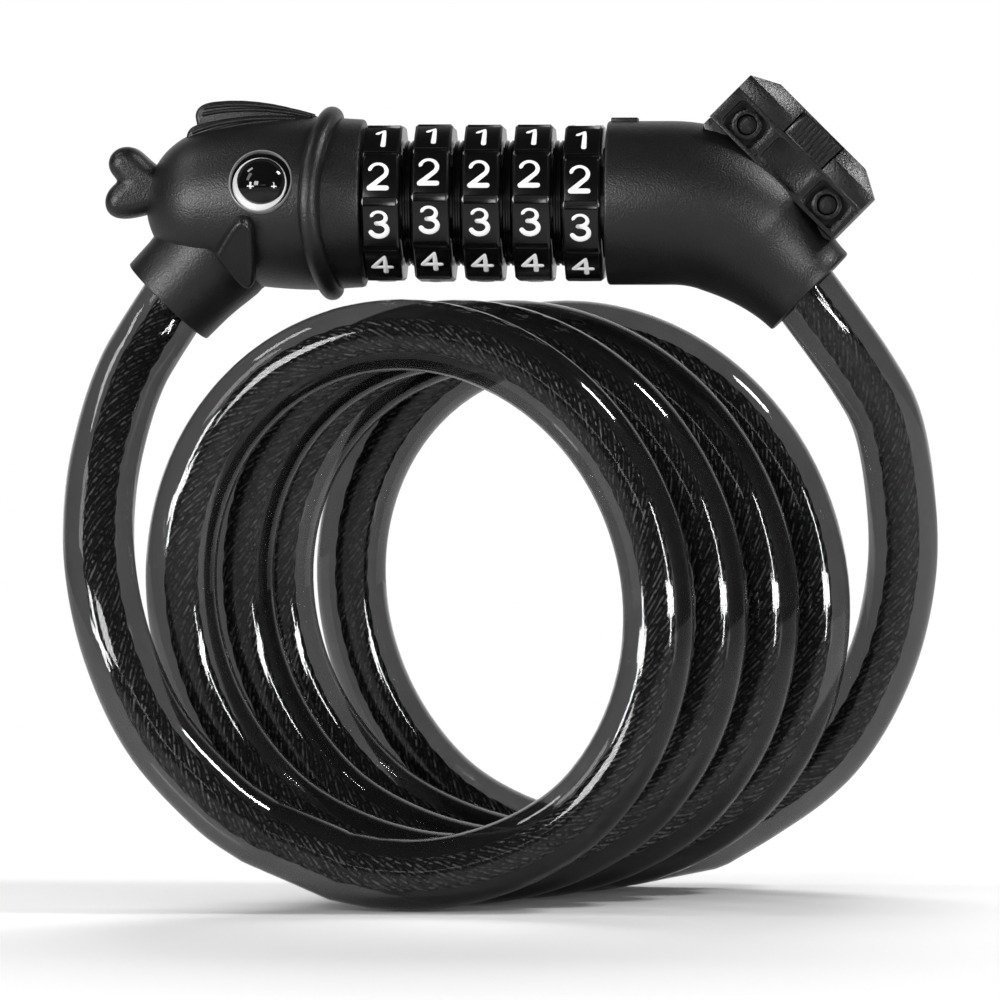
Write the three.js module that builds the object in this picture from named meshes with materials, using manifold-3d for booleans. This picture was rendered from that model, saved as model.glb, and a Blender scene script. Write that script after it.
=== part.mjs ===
// Combination cable lock: five dials on a slotted core, a fish-shaped plug
// head, a bent housing with a frame-bracket foot, and a coiled steel cable.
// Millimetres, +Z up. X runs along the barrel with the head at -X, the viewer
// of the numbers stands at -Y. The origin is on the floor under the middle.

import * as THREE from 'three';
import { mergeVertices } from 'three/addons/utils/BufferGeometryUtils.js';
import Module from 'manifold-3d';

// ---- driving dimensions -------------------------------------------------

const GAP = 0.3; // clearance between pieces that touch

// Cable
const CABLE_D = 12;
const CABLE_R = CABLE_D / 2;
const TURNS = 4;
const COIL_RX = 42.4; // half width of a turn, on the centreline
const COIL_RZ = 45.6; // half height of a turn, on the centreline
const COIL_PITCH_Y = 13; // a turn lies this far behind the last
const COIL_SHIFT_X = 8.35; // and this far to the right of it
const COIL_LEAN = 2.9; // the turns lean back over the left side
const COIL_X = 0.4; // middle of the coil
const SLACK_TURN = 2.75; // one strand sags out of line here
const SLACK_X = 3; // by this much
const SLACK_SPAN = 0.22; // over this part of a turn
const REST_FLAT = 0.1 * CABLE_D; // the coil stands on a flat this deep
const STEPS_PER_TURN = 24;
const COIL_SIDES = 6;
const LEAD_SIDES = 12;
const RUN_RISE_LEFT = 26; // climb of the straight run at the coil's ends, degrees
const RUN_RISE_RIGHT = 12;

// Barrel: the axis of the dials above the floor
const AXIS_Z = 118.4;

// The whole lock is moved left by this much, so that the origin is under its middle
const MIDDLE_X = 0.835;

// Dials
const DIALS = 5;
const DIAL_FACETS = 10;
const DIAL_PITCH = 8.5;
const DIAL_MIDDLE_X = -2.4;
const DIAL_WIDTH = 6.35;
const DIAL_APOTHEM = 13.15;
const DIAL_CHAMFER = 0.5;
const DIAL_BORE_APOTHEM = 9.2;
const DIAL_REST_TURN = [1.9, 5.4, 3.7, 3.7, -0.6]; // degrees off the index
const GROOVE_WIDTH = 1.6;
const GROOVE_LENGTH = 5.1;
const GROOVE_FLOOR_R = 12.95;

// Combination mechanism
const TUMBLER_WIDTH = 3.6;
const TUMBLER_APOTHEM = DIAL_BORE_APOTHEM - GAP;
const CORE_R = 6.2;
const CORE_BORE_R = 4.7;
const RING_BORE_R = CORE_R + GAP;
const GATE_R = 8.7;
const GATE_WIDTH = 3.8;
const FALSE_GATE_R = 7.2;
const FALSE_GATE_WIDTH = 2.6;
const BOLT_R = 4.2;
const BOLT_TIP_X = 21.5;
const TOOTH_TOP_R = 8.2;
const TOOTH_WIDTH = 1.8;
const TOOTH_THICKNESS = 2.4;
const TOOTH_OFFSET = TUMBLER_WIDTH / 2 + GAP + TOOTH_THICKNESS / 2;
const SLOT_WIDTH = 2.8;
const KEYWAY_WIDTH = 3.6;
const SPACER_R = 10.65;
const CORE_LEFT_X = -25.2;
const CORE_TAIL_X = 26;
const FLANGE_R = 9.5;
const FLANGE_THICKNESS = 2;
const CORE_PIN_X = 24;
const CORE_PIN_R = 1;
const CORE_PIN_REACH = 2.6; // each end stands this far into the housing
const CLIP_R = 8.3; // retaining ring
const CLIP_X = CORE_LEFT_X + 1.2;
const CLIP_THICKNESS = 0.6;
const CLIP_GROOVE_DEPTH = 0.6;
const CLIP_GROOVE_X0 = CORE_LEFT_X + 0.9;
const CLIP_GROOVE_X1 = CORE_LEFT_X + 1.98;
const WASHER_R = 8.6; // its keyway is open at the rim
const WASHER_THICKNESS = 0.9;
const SPRING_WIDTH = 2.4;
const SPRING_THICKNESS = 0.3;
const SPRING_WAVE = 0.12; // a click's lift
const SPRING_X0 = -22.9;
const SPRING_X1 = 17.1;
const SPRING_R = CORE_R - 0.45; // the strip lies this far below the axis
const SPRING_SEAT_R = CORE_BORE_R + 0.5;

// Bolt and the bush that holds it in the plug head
const INSERT_X0 = -31;
const INSERT_X1 = -26.6;
const INSERT_R = 7.9;
const BOLT_HEAD_R = 6;
const BOLT_HEAD_THICKNESS = 2;
const BOLT_TIP_CHAMFER = 1;

// Right housing: a sleeve that bends 45 degrees down to the cable
const HOUSING_LEFT_X = 18.4;
const HOUSING_R = 13.9;
const ELBOW_X = 37.6; // where the two axes cross
const ELBOW_ANGLE = THREE.MathUtils.degToRad(45);
const ELBOW_BEND_R = 20;
const NECK_LENGTH = 21.2; // from the crossing to the end face
const NECK_R = 9.1;
const ELBOW_TAPER = 1.2; // the sleeve loses this much radius round the bend
const HOUSING_EDGE = 0.5; // softened edge beside the dials
const INDEX_LENGTH = 4.6;
const INDEX_WIDTH = 3.4;
const INDEX_PROUD = 0.55;
const INDEX_X = HOUSING_LEFT_X + 0.6;

// Bracket foot on the back of the elbow, in the elbow's frame:
// u runs down the neck from the crossing, n stands square off it
const FOOT_U0 = -11.3;
const FOOT_U1 = 17.9;
const FOOT_N0 = 10.2;
const FOOT_SHOULDER_N = 16.9;
const FOOT_EDGE_N = 19.2;
const FOOT_TOP_N = 21.3;
const FOOT_HALF_WIDTH = 8;
const FOOT_END_BEVEL = 4.6;
const FOOT_SIDE_BEVEL = 2.4;
const CELL_PITCH = 9.45;
const CELL_MIDDLE_U = 3.55;
const CELL_LENGTH = 7.9;
const CELL_N0 = 10.9;
const CELL_N1 = 16.2;
const CELL_DEPTH = 3;
const CELL_CORNER = 0.8;
const BOSS_R = 2.3;
const SCREW_R = 1.5;
const TONGUE_U0 = -0.7;
const TONGUE_U1 = 8.5;
const TONGUE_SUNK = 0.4; // below the plate's crown

// Plug head
const HEAD_REAR_X = -22.9;
const HEAD_REAR_R = 14.25;
const HEAD_REAR_CHAMFER = 0.8;
const HEAD_WIDEST_X = -31;
const HEAD_WIDEST_R = 14.75;
const FACE_X = -47.5; // centre of the round face
const FACE_R = 12.5;
const LEAD_ANGLE = THREE.MathUtils.degToRad(46);
const HEAD_NECK_END = new THREE.Vector3(-56.7, 0, -16.6);
const HEAD_NECK_R = 8.9;
const HEAD_NECK_ROOT_R = 9.8;
const HEAD_NECK_LENGTH = 17;
const GILL_X = -28.6;
const GILL_BOW = 2.2;
const GILL_R = 14.65;
const GILL_TUBE_R = 1.85;
const EYE_X = -39.3;
const EYE_LIFT = THREE.MathUtils.degToRad(16.5);
const EYE_RING_R = 5.4;
const EYE_RING_INNER_R = 4.6;
const EYE_DOME_R = 4.3;
const EYE_SEAT_R = 12.3; // the floor of the eye's socket, from the axis
const EYE_SOCKET_R = EYE_RING_R + GAP;
const EYE_RING_TOP_R = 14.35;
const EYE_RING_ROUNDING = 0.4;
const EYE_DOME_EDGE_R = 13.7;
const EYE_DOME_RISE = 1.7;
const LIP_HALF_WIDTH = 4.8;
const LIP_ROUNDING = 1.9;
const CREST_HALF_WIDTH = 2.1; // dorsal fin: its upper layer
const FOLD_HALF_WIDTH = 3.3; // and its lower layer
const DORSAL_ROOT_HALF_WIDTH = 1.6;
const CREST_MIDDLE_Z = 14.6;
const FIN_X = -42.6; // pectoral fins
const FIN_LIFT = THREE.MathUtils.degToRad(-30);
const FIN_SEAT_R = 14.6;
const FIN_THICKNESS = 3.2;
const FIN_ROUNDING = 0.9;
const FIN_ROOT_R = 1.4;
const FIN_ROOT_X = -0.6; // in the fin's own outline
const FIN_ROOT_Y = 0.4;

// Ferrules that hold the cable in both necks
const FERRULE_R = 7;
const FERRULE_LENGTH = 12;
const FERRULE_CRIMP = 4; // length of the waist, and of each end
const FERRULE_CRIMP_DEPTH = 0.6;
const FERRULE_PIN_R = 1;
const FERRULE_PIN_REACH = 0.9;

// Free stretches of cable between the coil and the two necks
const LEFT_ROUTE = [
  [-44.2, -28.5, 17.6],
  [-54.9, -28.5, 29.1],
  [-61.8, -27, 42.9],
  [-65.5, -23, 57.1],
  [-66.1, -17, 70.4],
  [-64.4, -10, 82.5],
  [-61.2, -3.6, 93.2],
];
const RIGHT_ROUTE = [
  [43.2, 28.5, 13.7],
  [55.6, 28.5, 23.9],
  [64.1, 27, 38.7],
  [67.9, 23, 54.5],
  [67.7, 17.5, 67.3],
  [64.7, 11, 80.2],
  [59.3, 4, 93.6],
];

// ---- materials ----------------------------------------------------------

const FINISH = {
  housing: { color: 0x1b1b1c, roughness: 0.55, metalness: 0 },
  dial: { color: 0x0c0c0d, roughness: 0.25, metalness: 0 },
  bracket: { color: 0x222324, roughness: 0.6, metalness: 0 },
  eyeRing: { color: 0xd8d8d8, roughness: 0.3, metalness: 0 },
  eyeDome: { color: 0x050505, roughness: 0.05, metalness: 0 },
  steel: { color: 0x9b9da0, roughness: 0.35, metalness: 1 },
  brass: { color: 0xb08d4f, roughness: 0.4, metalness: 1 },
  cable: { color: 0x2a2b2d, roughness: 0.15, metalness: 0.2 },
};

// ---- solids -------------------------------------------------------------

const wasm = await Module();
wasm.setup();

// A closed geometry with shared vertices, no empty triangles and faces out.
function closed(source) {
  const bare = source.clone();
  bare.deleteAttribute('normal');
  bare.deleteAttribute('uv');
  const merged = mergeVertices(bare, 1e-4);
  const place = merged.getAttribute('position');
  const order = merged.getIndex().array;
  const corners = [0, 1, 2].map(() => new THREE.Vector3());
  const kept = [];
  let volume = 0;
  for (let i = 0; i < order.length; i += 3) {
    const [a, b, c] = [order[i], order[i + 1], order[i + 2]];
    if (a === b || b === c || c === a) continue;
    kept.push(a, b, c);
    corners.forEach((corner, k) => corner.fromBufferAttribute(place, order[i + k]));
    volume += corners[0].dot(corners[1].clone().cross(corners[2]));
  }
  if (volume < 0) {
    for (let i = 0; i < kept.length; i += 3) {
      [kept[i + 1], kept[i + 2]] = [kept[i + 2], kept[i + 1]];
    }
  }
  merged.setIndex(kept);
  return merged;
}

function toSolid(geometry) {
  const shape = closed(geometry);
  const vertProperties = new Float32Array(shape.getAttribute('position').array);
  const triVerts = new Uint32Array(shape.getIndex().array);
  return new wasm.Manifold(new wasm.Mesh({ numProp: 3, vertProperties, triVerts }));
}

function toGeometry(solid) {
  const mesh = solid.getMesh();
  const geometry = new THREE.BufferGeometry();
  geometry.setAttribute('position', new THREE.BufferAttribute(mesh.vertProperties, 3));
  geometry.setIndex(new THREE.BufferAttribute(mesh.triVerts, 1));
  return geometry;
}

function join(geometries) {
  const solids = geometries.map(toSolid);
  return toGeometry(solids.reduce((whole, next) => whole.add(next)));
}

function cut(geometry, tools) {
  const solids = tools.map(toSolid);
  return toGeometry(solids.reduce((whole, tool) => whole.subtract(tool), toSolid(geometry)));
}

function piece(name, geometry, finish) {
  const shape = closed(geometry);
  const flat = shape.toNonIndexed();
  flat.computeVertexNormals();
  const mesh = new THREE.Mesh(flat, new THREE.MeshStandardMaterial(finish));
  mesh.name = name;
  return mesh;
}

// Axes for profiles: section x -> Y, section y -> Z, depth -> X.
const ALONG_X = new THREE.Matrix4().makeBasis(
  new THREE.Vector3(0, 1, 0),
  new THREE.Vector3(0, 0, 1),
  new THREE.Vector3(1, 0, 0),
);

// A revolve about the X axis from [x, radius] points.
function revolve(profile, segments) {
  const points = profile.map(([x, radius]) => new THREE.Vector2(radius, x));
  const closedLoop = profile[0][1] > 0 ? [...points, points[0].clone()] : points;
  return new THREE.LatheGeometry(closedLoop, segments).rotateZ(-Math.PI / 2);
}

// A section in Y and Z pushed from x0 to x1.
function pushAlongX(shape, x0, x1) {
  const geometry = new THREE.ExtrudeGeometry(shape, {
    depth: x1 - x0,
    bevelEnabled: false,
    curveSegments: 1,
  });
  return geometry.applyMatrix4(ALONG_X).translate(x0, 0, 0);
}

function cylinderAlongX(radius, x0, x1, segments = 24) {
  return revolve([[x0, 0], [x0, radius], [x1, radius], [x1, 0]], segments);
}

function box(x0, x1, y0, y1, z0, z1) {
  const geometry = new THREE.BoxGeometry(x1 - x0, y1 - y0, z1 - z0);
  return geometry.translate((x0 + x1) / 2, (y0 + y1) / 2, (z0 + z1) / 2);
}

// Points on an arc about the barrel axis, angles from straight up.
function arcPoints(radius, from, to, steps) {
  const points = [];
  for (let i = 0; i <= steps; i += 1) {
    const angle = from + ((to - from) * i) / steps;
    points.push(new THREE.Vector2(radius * Math.sin(angle), radius * Math.cos(angle)));
  }
  return points;
}

// A disc bored round the barrel axis, with straight notches cut up from the bore.
function notchedRing(disc, boreR, notches) {
  const tools = [cylinderAlongX(boreR, -100, 100)];
  notches.forEach(({ angle, radius, width }) => {
    const notch = box(-100, 100, -width / 2, width / 2, 0, radius);
    tools.push(notch.rotateX(-angle));
  });
  return cut(disc, tools);
}

function circleOutline(radius, steps) {
  return arcPoints(radius, 0, 2 * Math.PI, steps).slice(0, -1);
}

function indexed(vertices, faces) {
  const geometry = new THREE.BufferGeometry();
  geometry.setAttribute('position', new THREE.Float32BufferAttribute(vertices, 3));
  geometry.setIndex(faces);
  return geometry;
}

// Walls between rings of the same number of corners, with both ends closed.
function skin(vertices, sides) {
  const faces = [];
  const last = vertices.length / 3 - sides;
  for (let start = 0; start < last; start += sides) {
    for (let k = 0; k < sides; k += 1) {
      const a = start + k;
      const b = start + ((k + 1) % sides);
      faces.push(a, b, a + sides, b, b + sides, a + sides);
    }
  }
  for (let k = 1; k < sides - 1; k += 1) {
    faces.push(0, k + 1, k);
    faces.push(last, last + k, last + k + 1);
  }
  return indexed(vertices, faces);
}

// ---- cable --------------------------------------------------------------

// The coil's centreline; turn counts from the front turn's lowest point.
function coilPoint(turn) {
  const angle = 2 * Math.PI * turn;
  const along = turn - TURNS / 2;
  const slack = SLACK_X * Math.exp(-(((turn - SLACK_TURN) / SLACK_SPAN) ** 2));
  const bottom = CABLE_R - REST_FLAT;
  return new THREE.Vector3(
    COIL_X + COIL_SHIFT_X * along + COIL_RX * Math.sin(angle) + COIL_LEAN * Math.cos(angle) - slack,
    COIL_PITCH_Y * along,
    bottom + COIL_RZ * (1 - Math.cos(angle)),
  );
}

// The direction of a straight run that leaves the coil, climbing by rise.
function runDirection(side, rise) {
  const angle = THREE.MathUtils.degToRad(rise);
  const drift = COIL_PITCH_Y / (2 * Math.PI * COIL_RX);
  return new THREE.Vector3(side * Math.cos(angle), side * drift, Math.sin(angle)).normalize();
}

function coilRoute() {
  const points = [];
  for (let step = -1; step <= TURNS * STEPS_PER_TURN; step += 1) {
    points.push(coilPoint(step / STEPS_PER_TURN));
  }
  const left = runDirection(-1, RUN_RISE_LEFT);
  const right = runDirection(1, RUN_RISE_RIGHT);
  points.unshift(points[0].clone().addScaledVector(left, CABLE_D));
  points.push(points[points.length - 1].clone().addScaledVector(right, CABLE_D));
  return points;
}

// A closed tube of rings square to the route, a ring's corner facing outwards.
function ringTube(route, radius, sides) {
  const across = new THREE.Vector3(0, 1, 0);
  const vertices = [];
  route.forEach((centre, i) => {
    const before = route[Math.max(i - 1, 0)];
    const after = route[Math.min(i + 1, route.length - 1)];
    const tangent = after.clone().sub(before).normalize();
    const side = across.clone().addScaledVector(tangent, -across.dot(tangent)).normalize();
    const out = tangent.clone().cross(side);
    for (let k = 0; k < sides; k += 1) {
      const angle = (2 * Math.PI * k) / sides;
      const corner = centre.clone();
      corner.addScaledVector(out, radius * Math.cos(angle));
      corner.addScaledVector(side, radius * Math.sin(angle));
      vertices.push(corner.x, corner.y, corner.z);
    }
  });
  return skin(vertices, sides);
}

// A smooth tube through points, by its section pushed along the curve.
function pushedTube(points, radius, sides, steps) {
  const path = new THREE.CatmullRomCurve3(points);
  const section = new THREE.Shape(circleOutline(radius, sides));
  const options = { steps, bevelEnabled: false, curveSegments: 1, extrudePath: path };
  return new THREE.ExtrudeGeometry(section, options);
}

function leadRoute(start, direction, middle, mouth, inward) {
  return [
    start.clone().addScaledVector(direction, GAP),
    start.clone().addScaledVector(direction, CABLE_R / 2),
    ...middle.map((place) => new THREE.Vector3(...place)),
    mouth.clone().addScaledVector(inward, -CABLE_R),
    mouth.clone().addScaledVector(inward, -GAP),
  ];
}

// The smallest clear space between stretches of cable that aren't neighbours.
function leastGap(points) {
  const apart = 4 * CABLE_D;
  let walked = 0;
  const marks = points.map((point, i) => {
    walked += i ? point.distanceTo(points[i - 1]) : 0;
    return walked;
  });
  let least = Infinity;
  for (let i = 0; i < points.length; i += 1) {
    for (let j = i + 1; j < points.length; j += 1) {
      if (marks[j] - marks[i] < apart) continue;
      least = Math.min(least, points[i].distanceTo(points[j]));
    }
  }
  return { gap: least - CABLE_D, length: walked };
}

function cablePieces() {
  const coil = coilRoute();
  const headNeck = new THREE.Vector3(0, 0, AXIS_Z).add(HEAD_NECK_END);
  const headInward = new THREE.Vector3(Math.cos(LEAD_ANGLE), 0, Math.sin(LEAD_ANGLE));
  const rightNeck = new THREE.Vector3(0, 0, AXIS_Z).add(footPoint(NECK_LENGTH, 0));
  const rightInward = footVector(-1, 0);
  const leftDirection = coil[0].clone().sub(coil[1]).normalize();
  const rightDirection = coil[coil.length - 1].clone().sub(coil[coil.length - 2]).normalize();
  const left = leadRoute(coil[0], leftDirection, LEFT_ROUTE, headNeck, headInward);
  const right = leadRoute(coil[coil.length - 1], rightDirection, RIGHT_ROUTE, rightNeck, rightInward);

  const fine = [];
  const samples = TURNS * STEPS_PER_TURN * 4;
  fine.push(...new THREE.CatmullRomCurve3(left).getSpacedPoints(90).reverse());
  for (let i = 0; i <= samples; i += 1) fine.push(coilPoint((TURNS * i) / samples));
  fine.push(...new THREE.CatmullRomCurve3(right).getSpacedPoints(90));
  const measured = leastGap(fine);
  console.log(`cable: length ${measured.length.toFixed(0)} mm, least gap ${measured.gap.toFixed(2)} mm`);

  const floor = box(-200, 200, -200, 200, -50, 0);
  const coilSolid = cut(ringTube(coil, CABLE_R, COIL_SIDES), [floor]);
  return [
    piece('cable_coil', coilSolid, FINISH.cable),
    piece('cable_lead_left', pushedTube(left, CABLE_R, LEAD_SIDES, 8), FINISH.cable),
    piece('cable_lead_right', pushedTube(right, CABLE_R, LEAD_SIDES, 8), FINISH.cable),
  ];
}

// ---- dials and combination mechanism -------------------------------------

function dialX(index) {
  return DIAL_MIDDLE_X + DIAL_PITCH * (index - (DIALS - 1) / 2);
}

function dialShape() {
  const toCorner = 1 / Math.cos(Math.PI / DIAL_FACETS);
  const half = DIAL_WIDTH / 2;
  const outer = DIAL_APOTHEM * toCorner;
  const bore = DIAL_BORE_APOTHEM * toCorner;
  const ring = revolve([
    [-half, bore],
    [-half, outer - DIAL_CHAMFER],
    [-half + DIAL_CHAMFER, outer],
    [half - DIAL_CHAMFER, outer],
    [half, outer - DIAL_CHAMFER],
    [half, bore],
  ], DIAL_FACETS);
  ring.rotateX(Math.PI / DIAL_FACETS - firstCornerAngle(ring));
  const grooves = [];
  for (let i = 0; i < DIAL_FACETS; i += 1) {
    const groove = box(
      -GROOVE_LENGTH / 2, GROOVE_LENGTH / 2,
      -GROOVE_WIDTH / 2, GROOVE_WIDTH / 2,
      GROOVE_FLOOR_R, outer + 1,
    );
    grooves.push(groove.rotateX(((i + 0.5) * 2 * Math.PI) / DIAL_FACETS));
  }
  return cut(ring, grooves);
}

// The angle from straight up of a revolved solid's first corner, about X.
function firstCornerAngle(geometry) {
  const place = geometry.getAttribute('position');
  return Math.atan2(-place.getY(0), place.getZ(0));
}

function decagonOutline(apothem) {
  const radius = apothem / Math.cos(Math.PI / DIAL_FACETS);
  const half = Math.PI / DIAL_FACETS;
  return arcPoints(radius, half, 2 * Math.PI + half, DIAL_FACETS).slice(0, -1);
}

// The gate lines up with the digit 0; two shallow false gates mislead a pick.
function tumblerShape(index) {
  const step = (2 * Math.PI) / DIAL_FACETS;
  const falseGates = [3 + (index % 2), 7 - (index % 3)];
  const notches = [{ angle: 0, radius: GATE_R, width: GATE_WIDTH }];
  falseGates.forEach((digit) => {
    notches.push({ angle: digit * step, radius: FALSE_GATE_R, width: FALSE_GATE_WIDTH });
  });
  const half = TUMBLER_WIDTH / 2;
  const disc = pushAlongX(new THREE.Shape(decagonOutline(TUMBLER_APOTHEM)), -half, half);
  return notchedRing(disc, RING_BORE_R, notches);
}

function dialPieces() {
  const group = new THREE.Group();
  for (let index = 0; index < DIALS; index += 1) {
    const assembly = new THREE.Group();
    assembly.add(piece(`dial_${index + 1}`, dialShape(), FINISH.dial));
    assembly.add(piece(`tumbler_${index + 1}`, tumblerShape(index), FINISH.brass));
    assembly.position.x = dialX(index);
    assembly.rotation.x = THREE.MathUtils.degToRad(-DIAL_REST_TURN[index]);
    group.add(assembly);
  }
  return group;
}

function keyedRing(outerR, thickness, x) {
  const disc = cylinderAlongX(outerR, x - thickness / 2, x + thickness / 2, 32);
  return notchedRing(disc, RING_BORE_R, [{ angle: 0, radius: GATE_R, width: KEYWAY_WIDTH }]);
}

// A ring open at the top for the bolt's teeth.
function openRing(outerR, innerR, opening, x0, x1, steps = 20) {
  const outerHalf = Math.asin(opening / 2 / outerR);
  const innerHalf = Math.asin(opening / 2 / innerR);
  const outline = [
    ...arcPoints(outerR, outerHalf, 2 * Math.PI - outerHalf, steps),
    ...arcPoints(innerR, 2 * Math.PI - innerHalf, innerHalf, steps),
  ];
  return pushAlongX(new THREE.Shape(outline), x0, x1);
}

function coreTube() {
  const flangeX = HOUSING_LEFT_X + GAP;
  const tube = openRing(CORE_R, CORE_BORE_R, SLOT_WIDTH, CORE_LEFT_X, flangeX + 1);
  const tail = revolve([
    [flangeX, CORE_BORE_R],
    [flangeX, FLANGE_R],
    [flangeX + FLANGE_THICKNESS, FLANGE_R],
    [flangeX + FLANGE_THICKNESS, CORE_R],
    [CORE_TAIL_X, CORE_R],
    [CORE_TAIL_X, CORE_BORE_R],
  ], 24);
  const groove = revolve([
    [CLIP_GROOVE_X0, CORE_R - CLIP_GROOVE_DEPTH],
    [CLIP_GROOVE_X0, CORE_R + 1],
    [CLIP_GROOVE_X1, CORE_R + 1],
    [CLIP_GROOVE_X1, CORE_R - CLIP_GROOVE_DEPTH],
  ], 24);
  const springSeat = box(
    SPRING_X0 - 0.5, SPRING_X1 + 0.5,
    -SPRING_WIDTH / 2 - GAP, SPRING_WIDTH / 2 + GAP,
    -CORE_R - 1, -SPRING_SEAT_R,
  );
  const slotEnd = dialX(DIALS - 1) + TOOTH_OFFSET + TOOTH_THICKNESS / 2 + GAP;
  const slot = box(0, slotEnd, -SLOT_WIDTH / 2, SLOT_WIDTH / 2, 0, TOOTH_TOP_R + GAP);
  return cut(join([tube, tail]), [groove, springSeat, slot, corePin(GAP)]);
}

// A waved leaf spring under the tumblers, one wave a dial, gives the clicks.
function clickSpring() {
  const steps = 20;
  const lower = [];
  const upper = [];
  for (let i = 0; i <= steps; i += 1) {
    const x = SPRING_X0 + ((SPRING_X1 - SPRING_X0) * i) / steps;
    const wave = SPRING_WAVE * Math.cos((2 * Math.PI * (x - dialX(0))) / DIAL_PITCH);
    const z = -SPRING_R - wave;
    lower.push(new THREE.Vector2(x, z - SPRING_THICKNESS / 2));
    upper.unshift(new THREE.Vector2(x, z + SPRING_THICKNESS / 2));
  }
  const strip = new THREE.ExtrudeGeometry(new THREE.Shape([...lower, ...upper]), {
    depth: SPRING_WIDTH,
    bevelEnabled: false,
  });
  return strip.rotateX(Math.PI / 2).translate(0, SPRING_WIDTH / 2, 0);
}

function corePin(clearance) {
  const pin = new THREE.CylinderGeometry(CORE_PIN_R + clearance, CORE_PIN_R + clearance, 1, 8);
  const length = 2 * (CORE_R + CORE_PIN_REACH + clearance);
  return pin.scale(1, length, 1).rotateX(Math.PI / 2).translate(CORE_PIN_X, 0, 0);
}

function corePieces() {
  const pieces = [
    piece('core_tube', coreTube(), FINISH.steel),
    piece('core_pin', corePin(0), FINISH.steel),
    piece('click_spring', clickSpring(), FINISH.steel),
  ];
  for (let index = 0; index < DIALS - 1; index += 1) {
    const x = (dialX(index) + dialX(index + 1)) / 2;
    const thickness = DIAL_PITCH - DIAL_WIDTH - 2 * GAP;
    pieces.push(piece(`spacer_${index + 1}`, keyedRing(SPACER_R, thickness, x), FINISH.dial));
  }
  const washerX = dialX(0) - DIAL_WIDTH / 2 + WASHER_THICKNESS / 2;
  const washer = keyedRing(WASHER_R, WASHER_THICKNESS, washerX);
  pieces.push(piece('front_washer', washer, FINISH.steel));
  const clipBoreR = CORE_R - CLIP_GROOVE_DEPTH / 2;
  const clip = openRing(CLIP_R, clipBoreR, KEYWAY_WIDTH, CLIP_X, CLIP_X + CLIP_THICKNESS);
  pieces.push(piece('retaining_ring', clip, FINISH.steel));
  return pieces;
}

// ---- plug bolt: a rod with five teeth -------------------------------------

function plugBolt() {
  const headX1 = INSERT_X0 - GAP;
  const rod = revolve([
    [headX1 - BOLT_HEAD_THICKNESS, 0],
    [headX1 - BOLT_HEAD_THICKNESS, BOLT_HEAD_R],
    [headX1, BOLT_HEAD_R],
    [headX1, BOLT_R],
    [BOLT_TIP_X - BOLT_TIP_CHAMFER, BOLT_R],
    [BOLT_TIP_X, BOLT_R - BOLT_TIP_CHAMFER],
    [BOLT_TIP_X, 0],
  ], 24);
  const teeth = [];
  for (let index = 0; index < DIALS; index += 1) {
    const x = dialX(index) + TOOTH_OFFSET;
    teeth.push(box(
      x - TOOTH_THICKNESS / 2, x + TOOTH_THICKNESS / 2,
      -TOOTH_WIDTH / 2, TOOTH_WIDTH / 2,
      BOLT_R - 1, TOOTH_TOP_R,
    ));
  }
  return join([rod, ...teeth]);
}

function plugInsert() {
  return revolve([
    [INSERT_X0, BOLT_R + GAP],
    [INSERT_X0, INSERT_R],
    [INSERT_X1, INSERT_R],
    [INSERT_X1, BOLT_R + GAP],
  ], 24);
}

// ---- ferrules -------------------------------------------------------------

// A crimped sleeve with a waist; x runs inwards from the neck's mouth.
function ferruleShape() {
  const waistR = FERRULE_R - FERRULE_CRIMP_DEPTH;
  const body = revolve([
    [0, 0],
    [0, FERRULE_R],
    [FERRULE_CRIMP, FERRULE_R],
    [FERRULE_CRIMP, waistR],
    [2 * FERRULE_CRIMP, waistR],
    [2 * FERRULE_CRIMP, FERRULE_R],
    [FERRULE_LENGTH, FERRULE_R],
    [FERRULE_LENGTH, 0],
  ], 20);
  return cut(body, [ferrulePin(GAP)]);
}

function ferrulePin(clearance) {
  const radius = FERRULE_PIN_R + clearance;
  const length = 2 * (FERRULE_R + FERRULE_PIN_REACH + clearance);
  const pin = new THREE.CylinderGeometry(radius, radius, length, 8);
  return pin.translate(FERRULE_LENGTH / 2, 0, 0);
}

function neckBore() {
  const bore = cylinderAlongX(FERRULE_R + GAP, -1, FERRULE_LENGTH + GAP, 20);
  return [bore, ferrulePin(GAP)];
}

// ---- right housing ----------------------------------------------------------

// A point and a direction in the elbow's frame, in the plane of the bend.
function footVector(u, n) {
  const c = Math.cos(ELBOW_ANGLE);
  const s = Math.sin(ELBOW_ANGLE);
  return new THREE.Vector3(u * c + n * s, 0, -u * s + n * c);
}

function footPoint(u, n) {
  return footVector(u, n).add(new THREE.Vector3(ELBOW_X, 0, 0));
}

// Section in u and n, pushed square to the bend from y0 (near) to y1 (far).
function pushAcross(shape, y0, y1) {
  const geometry = new THREE.ExtrudeGeometry(shape, {
    depth: y1 - y0,
    bevelEnabled: false,
    curveSegments: 2,
  });
  const frame = new THREE.Matrix4().makeBasis(
    footVector(1, 0),
    footVector(0, 1),
    new THREE.Vector3(0, -1, 0),
  );
  frame.setPosition(ELBOW_X, 0, 0);
  return geometry.translate(0, 0, -y1).applyMatrix4(frame);
}

function rectangle(u0, u1, n0, n1) {
  const shape = new THREE.Shape();
  shape.moveTo(u0, n0);
  shape.lineTo(u1, n0);
  shape.lineTo(u1, n1);
  shape.lineTo(u0, n1);
  shape.closePath();
  return shape;
}

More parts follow.
